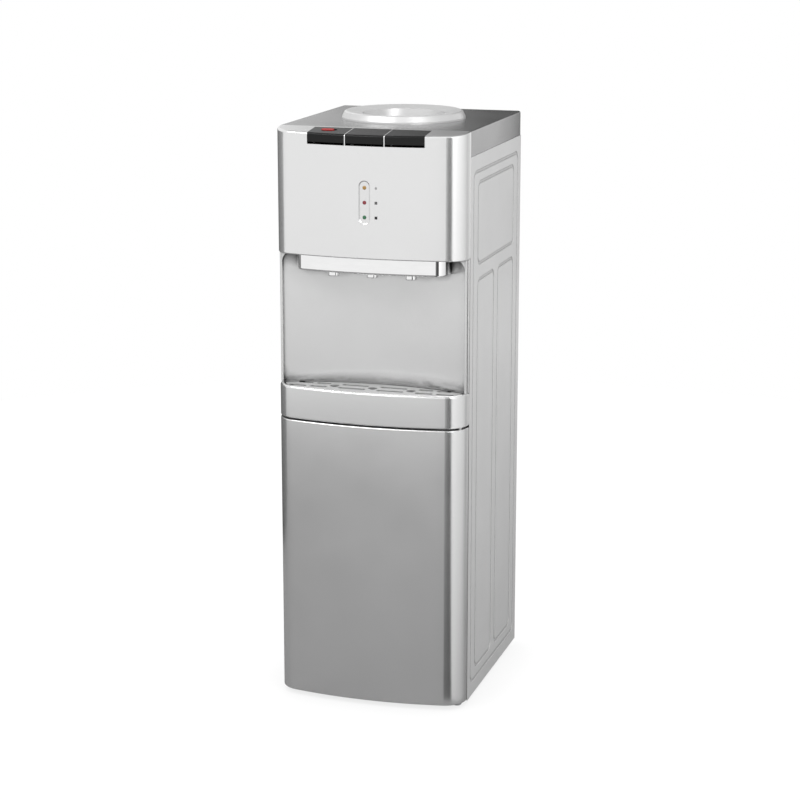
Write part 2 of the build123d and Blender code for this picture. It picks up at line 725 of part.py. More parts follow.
def hinge_bracket():
    x_low = HINGE_X - PIN_SIDE
    x_high = HINGE_X + PIN_BOSS_R
    plate = block(x_low, x_high, HINGE_Y - PIN_BOSS_R, BASE_Y, FOOT_H, FOOT_H + HINGE_PLATE_T)
    plate += block(x_low, x_high, BASE_Y - HINGE_PLATE_T, BASE_Y, FOOT_H, FOOT_H + HINGE_TAB_H)
    return plate - post(PIN_R + SEATED, HINGE_X, HINGE_Y, FOOT_H - WALL, FOOT_H + 2 * WALL)


def hinge_pins():
    low = post(PIN_R, HINGE_X, HINGE_Y, FOOT_H, DOOR_LOW + PIN_GRIP)
    high = post(PIN_R, HINGE_X, HINGE_Y, DOOR_TOP - PIN_GRIP, TRAY_LOW + PIN_GRIP)
    return Compound([low, high])


def rubber_feet():
    feet = []
    for x in (-SIDE_X + FOOT_INSET, SIDE_X - FOOT_INSET):
        for y in (BASE_Y + FOOT_INSET, REAR_Y - FOOT_INSET):
            foot = post(FOOT_R, x, y, 0, FOOT_H)
            feet.append(fillet(foot.edges().group_by(Axis.Z)[0], FOOT_ROUND))
    return Compound(feet)


def base_pan():
    pan = block(-INNER_X, INNER_X, BASE_Y, REAR_Y - FIT, FOOT_H, FOOT_H + BASE_RIM_H)
    rim = INNER_X - BASE_T
    return pan - block(
        -rim, rim, BASE_Y + BASE_T, REAR_Y - FIT - BASE_T, FOOT_H + BASE_T, FOOT_H + BASE_RIM_H + WALL)


def cabinet_liner():
    half = INNER_X - LINER_FRAME
    low = LINER_LOW
    high = LINER_TOP - LINER_FRAME
    frame = block(-INNER_X, INNER_X, SEAM_Y, SEAM_Y + LINER_T, FOOT_H + BASE_RIM_H + FIT, LINER_TOP)
    tub = block(
        -half - LINER_T, half + LINER_T, SEAM_Y, LINER_BACK + LINER_T, low - LINER_T, high + LINER_T)
    return frame + tub - block(-half, half, SEAM_Y - WALL, LINER_BACK, low, high)


def pressed_rectangle(place, y_low, y_high, z_low, z_high, grow, depth):
    """One tapered pressing in a side panel, as the solid between its outer and inner outlines."""
    middle = place * Pos((y_low + y_high) / 2, -(z_low + z_high) / 2)
    width = y_high - y_low
    height = z_high - z_low
    outer = RectangleRounded(width + 2 * grow, height + 2 * grow, GROOVE_R + grow)
    band = 2 * GROOVE_W + 2 * grow
    inner = RectangleRounded(width - band, height - band, GROOVE_R - GROOVE_W - grow)
    cut = extrude(middle * outer, depth, dir=(-1, 0, 0), taper=PRESS_ANGLE)
    return cut - extrude(middle * inner, depth, dir=(-1, 0, 0), taper=-PRESS_ANGLE)


def side_pressings():
    """Outlines of the pressings: one around the panel, one upper and two lower fields."""
    front = SEAM_Y + EMBOSS_SIDE
    back = BACK_Y - EMBOSS_SIDE
    low = FOOT_H + EMBOSS_BOTTOM
    high = SKIRT_LOW - EMBOSS_TOP
    upper_low = high - PANEL_TOP - UPPER_PANEL_H
    middle = (front + back) / 2
    lower_high = upper_low - PANEL_SPLIT
    return (
        (front, back, low, high),
        (front + PANEL_SIDE, back - PANEL_SIDE, upper_low, high - PANEL_TOP),
        (front + PANEL_SIDE, middle - PANEL_SPLIT / 2, low + PANEL_TOP, lower_high),
        (middle + PANEL_SPLIT / 2, back - PANEL_SIDE, low + PANEL_TOP, lower_high),
    )


def side_panel_right():
    panel = block(SIDE_X - SHEET, SIDE_X, SEAM_Y, BACK_Y, FOOT_H, SKIRT_LOW - SKIRT_GAP)
    panel += block(
        SIDE_X - FLANGE_W, SIDE_X, BACK_Y - SHEET, BACK_Y, FOOT_H, SKIRT_LOW - SKIRT_GAP)
    place = Plane(origin=(SIDE_X, 0, 0), x_dir=(0, 1, 0), z_dir=(-1, 0, 0))
    for y_low, y_high, z_low, z_high in side_pressings():
        panel += pressed_rectangle(place, y_low, y_high, z_low, z_high, SHEET / 2, EMBOSS + SHEET)
    for y_low, y_high, z_low, z_high in side_pressings():
        panel -= pressed_rectangle(place, y_low, y_high, z_low, z_high, 0, EMBOSS)
    return panel


def rear_hole(radius, x, z):
    return rod_y(radius, x, REAR_Y - WALL, REAR_FACE + WALL, z)


def rear_panel():
    """Sheet pan that closes the back above the open compressor bay."""
    high = SKIRT_LOW - SKIRT_GAP
    y_high = BACK_Y - SHEET - FIT
    pan = block(-INNER_X, INNER_X, REAR_Y, y_high, BAY_TOP, high)
    pan -= block(SHEET - INNER_X, INNER_X - SHEET, REAR_FACE, y_high + WALL, BAY_TOP + SHEET, high - SHEET)
    pan -= switch_cutout()
    pan -= rear_hole(GLAND_R + FIT, GLAND_X, SWITCH_Z)
    pan -= rear_hole(DRAIN_R + FIT, DRAIN_X, SWITCH_Z)
    for x, z in screw_places():
        pan -= rear_hole(SCREW_R + FIT / 2, x, z)
    return pan


def screw_places():
    x = INNER_X - SCREW_INSET
    low = BAY_TOP + SCREW_INSET
    high = SKIRT_LOW - SCREW_INSET
    middle = (low + high) / 2
    return [(side * x, z) for side in (-1, 1) for z in (low, middle, high)]


def rear_screws():
    screws = []
    for x, z in screw_places():
        head = rod_y(SCREW_HEAD_R, x, REAR_FACE, REAR_FACE + SCREW_HEAD_T, z)
        head = fillet(head.edges().group_by(Axis.Y)[-1], SCREW_ROUND)
        screws.append(head + rod_y(SCREW_R, x, REAR_FACE - SCREW_LEN, REAR_FACE, z))
    return Compound(screws)


def top_cover():
    cover = block(-SIDE_X, SIDE_X, SEAM_Y, BACK_Y, SKIRT_LOW, BODY_H)
    cover = fillet(cover.edges().filter_by(Axis.Z).group_by(Axis.Y)[-1], COVER_CORNER_R)
    top = cover.faces().sort_by(Axis.Z)[-1]
    edges = [edge for edge in top.edges() if edge.center().Y > SEAM_Y + TOUCH]
    cover = fillet(edges, EDGE_R)
    cover -= block(
        WALL - SIDE_X, SIDE_X - WALL, SEAM_Y - WALL, BACK_Y - WALL, SKIRT_LOW - WALL, BODY_H - WALL)
    return cover - post(SEAT_HOLE_R, 0, SEAT_Y, SKIRT_LOW, BODY_H + WALL)


def bottle_seat():
    """Raised ring, cup and neck that carry the upturned bottle, turned about one axis."""
    top = BODY_H + SEAT_RISE
    lip = top - SEAT_DISH
    bowl = BODY_H - BOWL_DEPTH
    skin = SEAT_WALL
    points = [
        (NECK_R, NECK_LOW), (NECK_R, NECK_TOP), (BOWL_R - EDGE_R, bowl), (BOWL_R, bowl + EDGE_R),
        (SEAT_LIP_R, lip), (SEAT_RIM_R - EDGE_R, top), (SEAT_RIM_R, top - EDGE_R / 2),
        (SEAT_R, BODY_H + skin), (SEAT_R, BODY_H), (SEAT_RIM_R - skin, BODY_H),
        (SEAT_RIM_R - EDGE_R - skin, top - 2 * skin), (SEAT_LIP_R + skin, lip - skin),
        (BOWL_R + skin, bowl + EDGE_R), (BOWL_R - EDGE_R + skin, bowl - skin),
        (NECK_R + skin, NECK_TOP - skin), (NECK_R + skin, NECK_LOW),
    ]
    profile = Plane.XZ * make_face(Polyline(*points, close=True))
    return Pos(0, SEAT_Y, 0) * revolve(profile, Axis.Z)


def feed_probe():
    """Hollow spike on a spider that opens the bottle's valve cap."""
    tip = BODY_H - PROBE_TIP_DOWN
    hub = NECK_LOW + 2 * WALL
    probe = post(PROBE_R, 0, SEAT_Y, hub, tip)
    probe = fillet(probe.edges().group_by(Axis.Z)[-1], PROBE_ROUND)
    probe += post(PROBE_R + WALL, 0, SEAT_Y, NECK_LOW, hub)
    arm = NECK_R - FIT
    for turn in (0, 60, 120):
        probe += Pos(0, SEAT_Y, NECK_LOW + WALL) * Rot(0, 0, turn) * Box(2 * arm, WALL, 2 * WALL)
    return probe - post(PROBE_BORE_R, 0, SEAT_Y, NECK_LOW - WALL, tip + WALL)


def cold_tank():
    tank = post(COLD_R, 0, SEAT_Y, COLD_LOW, COLD_TOP)
    tank -= post(COLD_R - TANK_WALL, 0, SEAT_Y, COLD_LOW + TANK_WALL, COLD_TOP - TANK_WALL)
    collar = NECK_R + SEAT_WALL + 2 * FIT
    neck = NECK_TOP - 2 * SEAT_WALL
    tank += post(collar + TANK_WALL, 0, SEAT_Y, COLD_TOP, neck)
    tank -= post(collar, 0, SEAT_Y, COLD_TOP - 2 * TANK_WALL, neck + WALL)
    for x, z in cold_outlets():
        y_end = SEAT_Y - FOAM_R - BARB_LEN
        y_wall = SEAT_Y - sqrt((COLD_R - TANK_WALL) ** 2 - x ** 2)
        tank += rod_y(BARB_R, x, y_end, y_wall, z)
        tank -= rod_y(HOSE_BORE_R, x, y_end, y_wall + BARB_LEN, z)
    tank += post(BARB_R, 0, SEAT_Y, UPPER_DECK_Z - BARB_LEN, COLD_LOW + TANK_WALL)
    return tank - post(HOSE_BORE_R, 0, SEAT_Y, UPPER_DECK_Z - BARB_LEN, COLD_LOW + 2 * TANK_WALL)


def cold_outlets():
    """Places of the normal and cold outlets on the front of the tank."""
    z = COLD_LOW + OUTLET_INSET
    return (0.0, z), (COLD_OUTLET_X, z)


def evaporator_coil():
    low = COLD_LOW + COIL_UP
    high = COLD_TOP - COIL_DOWN
    sleeve = post(COIL_R, 0, SEAT_Y, low, high)
    return sleeve - post(COLD_R + FIT, 0, SEAT_Y, low, high)


def cold_foam():
    foam = post(FOAM_R, 0, SEAT_Y, FOAM_LOW, COLD_TOP)
    foam -= post(COLD_R + FIT, 0, SEAT_Y, COLD_LOW, COLD_TOP + WALL)
    low = COLD_LOW + COIL_UP - FIT
    foam -= post(COIL_R + FIT, 0, SEAT_Y, low, COLD_TOP + WALL)
    for x, z in cold_outlets():
        foam -= rod_y(BARB_R + FIT, x, SEAT_Y - FOAM_R - WALL, SEAT_Y, z)
    return foam - post(BARB_R + FIT, 0, SEAT_Y, FOAM_LOW - WALL, COLD_LOW + WALL)


def tank_decks():
    front = RECESS_Y + DECK_FRONT
    upper = block(-INNER_X, INNER_X, front, REAR_Y - FIT, UPPER_DECK_Z, FOAM_LOW)
    upper -= post(BARB_R + FIT, 0, SEAT_Y, UPPER_DECK_Z - WALL, FOAM_LOW + WALL)
    lower = block(-INNER_X, INNER_X, front, REAR_Y - FIT, LOWER_DECK_Z, LOWER_DECK_Z + DECK_T)
    lower -= post(BARB_R + FIT, 0, HOT_Y, LOWER_DECK_Z - WALL, LOWER_DECK_Z + 2 * WALL)
    return Compound([upper, lower])


def hot_tank():
    tank = post(HOT_R, 0, HOT_Y, HOT_LOW, HOT_TOP)
    tank -= post(HOT_R - TANK_WALL, 0, HOT_Y, HOT_LOW + TANK_WALL, HOT_TOP - TANK_WALL)
    y_end = HOT_Y - JACKET_R - BARB_LEN
    tank += rod_y(BARB_R, 0, y_end, HOT_Y - HOT_R + TANK_WALL, HOT_BARB_Z)
    tank -= rod_y(HOSE_BORE_R, 0, y_end, HOT_Y - HOT_R + BARB_LEN, HOT_BARB_Z)
    tank += post(BARB_R, 0, HOT_Y, HOT_TOP - TANK_WALL, HOT_TOP + BARB_LEN)
    tank -= post(HOSE_BORE_R, 0, HOT_Y, HOT_TOP - 2 * TANK_WALL, HOT_TOP + BARB_LEN)
    low = LOWER_DECK_Z + DECK_T
    tank += post(BARB_R, 0, HOT_Y, LOWER_DECK_Z, HOT_LOW + TANK_WALL)
    for side in (-1, 1):
        tank += post(BARB_R, side * HOT_LEG_X, HOT_Y, low, HOT_LOW + TANK_WALL)
    return tank - post(HOSE_BORE_R, 0, HOT_Y, LOWER_DECK_Z, HOT_LOW + 2 * TANK_WALL)


def hot_jacket():
    jacket = post(JACKET_R, 0, HOT_Y, HOT_LOW, HOT_TOP)
    jacket -= post(HOT_R + FIT, 0, HOT_Y, HOT_LOW - WALL, HOT_TOP + WALL)
    return jacket - rod_y(BARB_R + FIT, 0, HOT_Y - JACKET_R - WALL, HOT_Y, HOT_BARB_Z)


def hose(points):
    path = FilletPolyline(*points, radius=HOSE_BEND)
    ring = Circle(BARB_R) - Circle(HOSE_BORE_R)
    return sweep(Plane(path @ 0, z_dir=path % 0) * ring, path=path)


def water_hoses():
    (normal_x, normal_z), (cold_x, cold_z) = cold_outlets()
    tank_y = SEAT_Y - FOAM_R - BARB_LEN
    drop_y = RECESS_Y + WALL + HOSE_WALL_GAP + BARB_R
    hot_y = HOT_Y - JACKET_R - BARB_LEN
    middle_z = (UPPER_DECK_Z - BARB_LEN + HOT_TOP + BARB_LEN) / 2
    rear_y = REAR_Y - 2 * HOSE_BEND
    under_z = LOWER_DECK_Z - BARB_LEN
    runs = (
        ((-TAP_PITCH, BARB_END, BARB_Z), (-TAP_PITCH, drop_y, BARB_Z), (-TAP_PITCH, drop_y, HOT_BARB_Z),
         (0, drop_y, HOT_BARB_Z), (0, hot_y, HOT_BARB_Z)),
        ((0, BARB_END, BARB_Z), (0, drop_y, BARB_Z), (0, drop_y, normal_z), (normal_x, tank_y, normal_z)),
        ((TAP_PITCH, BARB_END, BARB_Z), (TAP_PITCH, drop_y, BARB_Z), (TAP_PITCH, drop_y, cold_z),
         (cold_x, drop_y, cold_z), (cold_x, tank_y, cold_z)),
        ((0, SEAT_Y, UPPER_DECK_Z - BARB_LEN), (0, SEAT_Y, middle_z), (0, HOT_Y, middle_z),
         (0, HOT_Y, HOT_TOP + BARB_LEN)),
        ((0, HOT_Y, LOWER_DECK_Z), (0, HOT_Y, under_z), (0, rear_y, under_z),
         (DRAIN_X, rear_y, SWITCH_Z), (DRAIN_X, REAR_Y, SWITCH_Z)),
    )
    return Compound([hose(points) for points in runs])


def drain_spout():
    spout = rod_y(DRAIN_R, DRAIN_X, REAR_Y, REAR_FACE + CAP_LEN / 2, SWITCH_Z)
    spout += rod_y(CAP_R, DRAIN_X, REAR_FACE, REAR_FACE + WALL, SWITCH_Z)
    return spout - rod_y(HOSE_BORE_R, DRAIN_X, REAR_Y, REAR_FACE + CAP_LEN, SWITCH_Z)


def drain_cap():
    y_low = REAR_FACE + WALL
    cap = rod_y(CAP_R, DRAIN_X, y_low, y_low + CAP_LEN, SWITCH_Z)
    cap = fillet(cap.edges().group_by(Axis.Y)[-1], CAP_ROUND)
    return cap - rod_y(DRAIN_R + RUNNING, DRAIN_X, y_low - WALL, REAR_FACE + CAP_LEN / 2 + FIT, SWITCH_Z)


def cord_gland():
    gland = rod_y(GLAND_R, GLAND_X, REAR_Y - GLAND_LIP, REAR_FACE + GLAND_LIP, SWITCH_Z)
    gland += rod_y(GLAND_R + GLAND_LIP, GLAND_X, REAR_FACE, REAR_FACE + GLAND_LIP, SWITCH_Z)
    gland = fillet(gland.edges().group_by(Axis.Y)[-1], GLAND_ROUND)
    return gland - rod_y(GLAND_HOLE_R, GLAND_X, REAR_Y - 2 * GLAND_LIP, REAR_FACE + 2 * GLAND_LIP, SWITCH_Z)


def compressor_pot(inset):
    """Domed pot of the compressor, moved in from its skin by inset."""
    z_low = COMPRESSOR_Z + inset
    pot = post(COMPRESSOR_R - inset, COMPRESSOR_X, COMPRESSOR_Y, z_low, COMPRESSOR_Z + COMPRESSOR_H - inset)
    pot = fillet(pot.edges().group_by(Axis.Z)[-1], COMPRESSOR_DOME_R - inset)
    return fillet(pot.edges().group_by(Axis.Z)[0], COMPRESSOR_EDGE_R - inset)


def compressor():
    half = COMPRESSOR_R + COMPRESSOR_WALL
    y_low = COMPRESSOR_Y - COMPRESSOR_R
    y_high = COMPRESSOR_Y + COMPRESSOR_R
    plate = block(
        COMPRESSOR_X - half, COMPRESSOR_X + half, y_low, y_high,
        COMPRESSOR_Z - COMPRESSOR_WALL, COMPRESSOR_Z + COMPRESSOR_WALL)
    shell = compressor_pot(0) + fillet(plate.edges().filter_by(Axis.Z), COMPRESSOR_FOOT_H)
    reach = half - COMPRESSOR_FOOT_H
    for x in (COMPRESSOR_X - reach, COMPRESSOR_X + reach):
        for y in (y_low + COMPRESSOR_FOOT_H, y_high - COMPRESSOR_FOOT_H):
            shell += post(COMPRESSOR_FOOT_H / 2, x, y, FOOT_H + BASE_T, COMPRESSOR_Z)
    return shell - compressor_pot(COMPRESSOR_WALL)


def compressor_pump():
    z_low = COMPRESSOR_Z + COMPRESSOR_WALL
    return post(PUMP_R, COMPRESSOR_X, COMPRESSOR_Y, z_low, z_low + PUMP_H)


def condenser_tube():
    reach = CONDENSER_W / 2 - CONDENSER_PITCH / 2
    edges = []
    for turn in range(CONDENSER_PASSES):
        z = CONDENSER_TOP - turn * CONDENSER_PITCH
        side = 1 if turn % 2 == 0 else -1
        start = (-side * reach, CONDENSER_Y, z)
        end = (side * reach, CONDENSER_Y, z)
        edges.append(Line(start, end))
        if turn < CONDENSER_PASSES - 1:
            outer = (side * (reach + CONDENSER_PITCH / 2), CONDENSER_Y, z - CONDENSER_PITCH / 2)
            edges.append(ThreePointArc(end, outer, (side * reach, CONDENSER_Y, z - CONDENSER_PITCH)))
    path = Wire(edges)
    return sweep(Plane(path @ 0, z_dir=path % 0) * Circle(CONDENSER_R), path=path)


def condenser_wires():
    y = CONDENSER_Y + CONDENSER_R + WIRE_R + WIRE_GAP
    low = CONDENSER_LOW - WIRE_MARGIN
    high = CONDENSER_TOP + WIRE_MARGIN
    reach = CONDENSER_W / 2 - CONDENSER_PITCH / 2
    step = 2 * reach / (WIRE_COUNT - 1)
    return Compound([post(WIRE_R, -reach + n * step, y, low, high) for n in range(WIRE_COUNT)])


def condenser_clips():
    clips = []
    x = CONDENSER_W / 2 - CONDENSER_PITCH / 2 - CLIP_SIDE
    for side in (-1, 1):
        for z in (CONDENSER_TOP, CONDENSER_LOW):
            clip = block(
                side * x - CLIP_W / 2, side * x + CLIP_W / 2, REAR_FACE, CONDENSER_Y + CONDENSER_R / 2,
                z - CLIP_W / 2, z + CLIP_W / 2)
            groove = rod_x(CONDENSER_R + CLIP_PLAY, side * x - CLIP_W, side * x + CLIP_W, CONDENSER_Y, z)
            clips.append(clip - groove)
    return Compound(clips)


def rocker_places():
    return (("heat", SWITCH_X - SWITCH_PITCH / 2), ("cool", SWITCH_X + SWITCH_PITCH / 2))


def rocker_axis_y():
    return REAR_FACE + SWITCH_PLATE_T - ROCKER_DEPTH / 2


def bezel_block(x, grow):
    half = ROCKER_W / 2 + FIT + BEZEL_WALL + grow
    tall = ROCKER_H / 2 + ROCKER_SWING_ROOM + BEZEL_WALL + grow
    y_low = REAR_Y - BEZEL_DEPTH
    return block(x - half, x + half, y_low, REAR_FACE + WALL, SWITCH_Z - tall, SWITCH_Z + tall)


def switch_cutout():
    (_, first), (_, second) = rocker_places()
    return bezel_block(first, FIT) + bezel_block(second, FIT)


def switch_plate():
    plate = block(
        SWITCH_X - SWITCH_PLATE_W / 2, SWITCH_X + SWITCH_PLATE_W / 2, REAR_FACE, REAR_FACE + SWITCH_PLATE_T,
        SWITCH_Z - SWITCH_PLATE_H / 2, SWITCH_Z + SWITCH_PLATE_H / 2)
    plate = fillet(plate.edges().filter_by(Axis.Y), EDGE_R)
    half = ROCKER_W / 2 + FIT
    tall = ROCKER_H / 2 + ROCKER_SWING_ROOM
    for _, x in rocker_places():
        plate += bezel_block(x, 0)
    for _, x in rocker_places():
        plate -= block(
            x - half, x + half, REAR_Y - BEZEL_DEPTH - WALL, REAR_FACE + 2 * SWITCH_PLATE_T,
            SWITCH_Z - tall, SWITCH_Z + tall)
        plate -= rod_x(
            ROCKER_AXLE_R + RUNNING, x - half - BEZEL_WALL / 2, x + half + BEZEL_WALL / 2,
            rocker_axis_y(), SWITCH_Z)
    return plate


def rocker(x):
    y_face = REAR_FACE + SWITCH_PLATE_T
    y_low = y_face - ROCKER_DEPTH
    half = ROCKER_H / 2
    points = [
        (y_low, SWITCH_Z - half), (y_face + ROCKER_PROUD, SWITCH_Z - half),
        (y_face + ROCKER_PROUD - ROCKER_DIP, SWITCH_Z), (y_face + ROCKER_PROUD, SWITCH_Z + half),
        (y_low, SWITCH_Z + half),
    ]
    paddle = extrude(Plane.YZ * make_face(Polyline(*points, close=True)), ROCKER_W / 2, both=True)
    reach = ROCKER_W / 2 + FIT + BEZEL_WALL / 2 - RUNNING
    return Pos(x, 0, 0) * (paddle + rod_x(ROCKER_AXLE_R, -reach, reach, rocker_axis_y(), SWITCH_Z))


def save(name, shape):
    export_step(shape, os.path.join("parts", name + ".step"))


def main():
    os.makedirs("parts", exist_ok=True)
    skin = upper_front_skin()
    core = upper_front_core()
    right = side_panel_right()
    save("rubber_feet", rubber_feet())
    save("base_pan", base_pan())
    save("side_panel_right", right)
    save("side_panel_left", mirror(right, Plane.YZ))
    save("rear_panel", rear_panel())
    save("rear_screws", rear_screws())
    save("top_cover", top_cover())
    save("front_panel", front_panel(skin, core))
    save("recess_panel", recess_panel())
    save("tray_housing", tray_housing())
    save("cabinet_liner", cabinet_liner())
    save("hinge_bracket", hinge_bracket())
    save("hinge_pins", hinge_pins())
    save("magnet_catch", magnet_catch())
    save("door_shell", door_shell())
    save("door_liner", door_liner())
    save("door_gasket", door_gasket())
    save("strike_plate", strike_plate())
    save("drip_tray", drip_tray())
    save("drip_grille", drip_grille())
    save("tap_housing", tap_housing())
    save("nozzles", Compound([nozzle(x) for _, x in TAPS]))
    save("tap_bodies", Compound([tap_body(x) for _, x in TAPS]))
    for name, x in TAPS:
        save("push_rod_" + name, push_rod(x))
        save("valve_spring_" + name, valve_spring(x))
    for name, x in KEYS:
        save("key_" + name, key(name, x, skin, core))
    save("child_lock", child_lock(KEYS[0][1]))
    save("key_frame", key_frame())
    save("key_shaft", key_shaft())
    save("indicator_plate", indicator_plate())
    save("indicator_board", indicator_board())
    for name, rise in LEDS.items():
        save("led_" + name, indicator_led(rise))
    save("bottle_seat", bottle_seat())
    save("feed_probe", feed_probe())
    save("cold_tank", cold_tank())
    save("evaporator_coil", evaporator_coil())
    save("cold_foam", cold_foam())
    save("tank_decks", tank_decks())
    save("hot_tank", hot_tank())
    save("hot_jacket", hot_jacket())
    save("water_hoses", water_hoses())
    save("drain_spout", drain_spout())
    save("drain_cap", drain_cap())
    save("cord_gland", cord_gland())
    save("compressor", compressor())
    save("compressor_pump", compressor_pump())
    save("condenser_tube", condenser_tube())
    save("condenser_wires", condenser_wires())
    save("condenser_clips", condenser_clips())
    save("switch_plate", switch_plate())
    for name, x in rocker_places():
        save("rocker_" + name, rocker(x))


main()
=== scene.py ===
import json
import math

import bmesh
import bpy
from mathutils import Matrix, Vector


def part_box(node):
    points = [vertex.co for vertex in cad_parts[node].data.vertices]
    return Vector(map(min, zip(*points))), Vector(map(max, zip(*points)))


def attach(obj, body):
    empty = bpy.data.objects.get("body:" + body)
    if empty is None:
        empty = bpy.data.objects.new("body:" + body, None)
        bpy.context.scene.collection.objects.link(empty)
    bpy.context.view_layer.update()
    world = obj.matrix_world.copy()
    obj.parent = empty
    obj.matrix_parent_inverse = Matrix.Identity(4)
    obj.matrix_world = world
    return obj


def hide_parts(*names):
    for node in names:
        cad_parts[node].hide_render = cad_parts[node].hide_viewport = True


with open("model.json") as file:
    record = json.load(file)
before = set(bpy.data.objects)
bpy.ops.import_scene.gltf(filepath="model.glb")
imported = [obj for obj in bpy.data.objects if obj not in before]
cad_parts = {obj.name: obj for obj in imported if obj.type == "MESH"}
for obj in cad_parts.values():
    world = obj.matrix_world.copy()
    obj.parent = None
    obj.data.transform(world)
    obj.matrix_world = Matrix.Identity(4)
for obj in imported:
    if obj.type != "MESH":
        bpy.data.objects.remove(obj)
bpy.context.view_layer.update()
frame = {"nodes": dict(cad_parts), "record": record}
nodes = frame["nodes"]

# Camera, fitted to the photograph's frame of 800 by 800 pixels
IMAGE_WIDTH = 800
FOCAL_PIXELS = 2183
SENSOR_MM = 36
CAMERA_TARGET = Vector((0.0013, 0.0, 0.4922))
CAMERA_DISTANCE = 3.8
CAMERA_YAW = math.radians(17.0)
CAMERA_PITCH = math.radians(13.5)

# Bowed front and the indicator lights on it, in metres
FRONT_Y = -0.194
BOW_RADIUS = 0.6824
INDICATOR_Z = 0.865
INDICATOR_PITCH = 0.0242

# Printed marks beside the indicator lights, in metres, and the grey levels of their inks
MARK_X = 0.0198
MARK_SIZE = 0.0046
MARK_PROUD = 0.00025
MARK_SUNK = 0.0004
INKS = {"ink_pale": 0.3, "ink_grey": 0.1, "ink_black": 0.006}
INK_ROUGHNESS = 0.5

# Drop mark: its radius, sink and point in shares of the mark's size, and its arc in degrees
DROP_RADIUS = 0.42
DROP_SINK = 0.1
DROP_POINT = 0.62
DROP_START = 150
DROP_TURN = 240
DROP_STEPS = 12

# Dished plate behind the indicator lights: depths behind the front and width of its slope, in metres
DISH_RIM = 0.0001
DISH_FLOOR = 0.0011
DISH_BACK = 0.00117
DISH_SLOPE = 0.0017
DISH_STEPS = 24

# Beads that close the recess against the side panels, in metres
BEAD_INNER_X = 0.162
BEAD_OUTER_X = 0.1638
BEAD_FRONT_Y = -0.1472
BEAD_BACK_Y = -0.1402
BEAD_LOW = 0.548
BEAD_HIGH = 0.772
BEAD_ROUND = 0.0007

# Lower hinge bracket, in metres
BRACKET_SHEET = 0.002
BRACKET_CORNER = 0.006
BRACKET_ROUND = 0.0003
BRACKET_STEPS = 8

# Rounding of the added pieces
BEVEL_SEGMENTS = 3

# Light of the world, and the floor
AMBIENT = 0.5
FLOOR_RADIUS = 2.3
FLOOR_SEGMENTS = 96
FLOOR_ALBEDO = 0.24
FLOOR_GLOW = 0.97
# Darkest glow of the floor's painted contact shadow
FLOOR_CONTACT_SHADOW = 0.8
FLOOR_SHADE = 0.06
CONTACT_REACH = 0.1

# Studio cards, in metres: the middle of the front's corner arc, and places around it
CORNER_X = 0.126
CORNER_Y = -0.144
CARD_CLOSE = 0.09
CARD_NEAR = 0.34
CARD_TOP = 1.2
LEFT_DISTANCE = 1.2
LEFT_TOP = 0.98
BACK_Y = 1.2
BACK_LOW = 0.5
BACK_LEFT = -0.7
BACK_MIDDLE = -0.15
BACK_RIGHT = 1.1
ROOF_LEFT = -0.8
ROOF_FRONT_Y = -0.9
ROOF_LOW = 2.0
ROOF_HIGH = 2.05

# Scales of the finishes, in features per metre, and heights of their relief in metres
FLAKE_SCALE = 5200
PEEL_SCALE = 420
GRAIN_SCALE = 1500
SMUDGE_SCALE = 14
SPANGLE_SCALE = 130
FOAM_SCALE = 280
FLAKE_RELIEF = 0.000004
PEEL_RELIEF = 0.000003
GRAIN_RELIEF = 0.00004

# Painted shade in hollows: reach in metres, darkest share, and the range of openness that it fades over
RECESS_PAINTED_SHADE = (0.03, 0.02, 0.35, 0.8)
DISH_PAINTED_SHADE = (0.002, 0.02, 0.35, 0.8)
GRILLE_PAINTED_SHADE = (0.008, 0.01, 0.62, 0.95)
PRESS_PAINTED_SHADE = (0.005, 0.1, 0.7, 0.99)

# Faint light of the indicator lenses
LENS_GLOW = 0.05

# Range that noise fills, and the places of a Mix node's colour sockets
NOISE_LOW = 0.3
NOISE_HIGH = 0.7
MIX_FIRST = 6
MIX_SECOND = 7
MIX_RESULT = 2


def grey(value):
    return (value, value, value, 1.0)


def new_material(name):
    material = bpy.data.materials.new(name)
    material.use_nodes = True
    tree = material.node_tree
    return material, tree, tree.nodes["Principled BSDF"]


def add(tree, kind, **values):
    node = tree.nodes.new(kind)
    for name, value in values.items():
        setattr(node, name, value)
    return node


def object_coordinates(tree):
    return add(tree, "ShaderNodeTexCoord").outputs["Object"]


def noise(tree, scale, detail=3.0, stretch=None):
    """Noise in the object's own metres, drawn out along the axes by stretch."""
    coordinates = object_coordinates(tree)
    if stretch is not None:
        mapping = add(tree, "ShaderNodeMapping")
        mapping.inputs["Scale"].default_value = stretch
        tree.links.new(coordinates, mapping.inputs["Vector"])
        coordinates = mapping.outputs["Vector"]
    node = add(tree, "ShaderNodeTexNoise")
    node.inputs["Scale"].default_value = scale
    node.inputs["Detail"].default_value = detail
    tree.links.new(coordinates, node.inputs["Vector"])
    return node.outputs["Fac"]


def ramp(tree, factor, low, high, start=NOISE_LOW, end=NOISE_HIGH):
    """Colour that runs from low to high as factor runs from start to end."""
    node = add(tree, "ShaderNodeValToRGB")
    node.color_ramp.elements[0].position = start
    node.color_ramp.elements[0].color = low
    node.color_ramp.elements[1].position = end
    node.color_ramp.elements[1].color = high
    tree.links.new(factor, node.inputs["Fac"])
    return node.outputs["Color"]


def spread(tree, factor, low, high):
    """Number that runs from low to high with factor."""
    node = add(tree, "ShaderNodeMapRange")
    node.inputs["From Min"].default_value = NOISE_LOW
    node.inputs["From Max"].default_value = NOISE_HIGH
    node.inputs["To Min"].default_value = low
    node.inputs["To Max"].default_value = high
    tree.links.new(factor, node.inputs["Value"])
    return node.outputs["Result"]


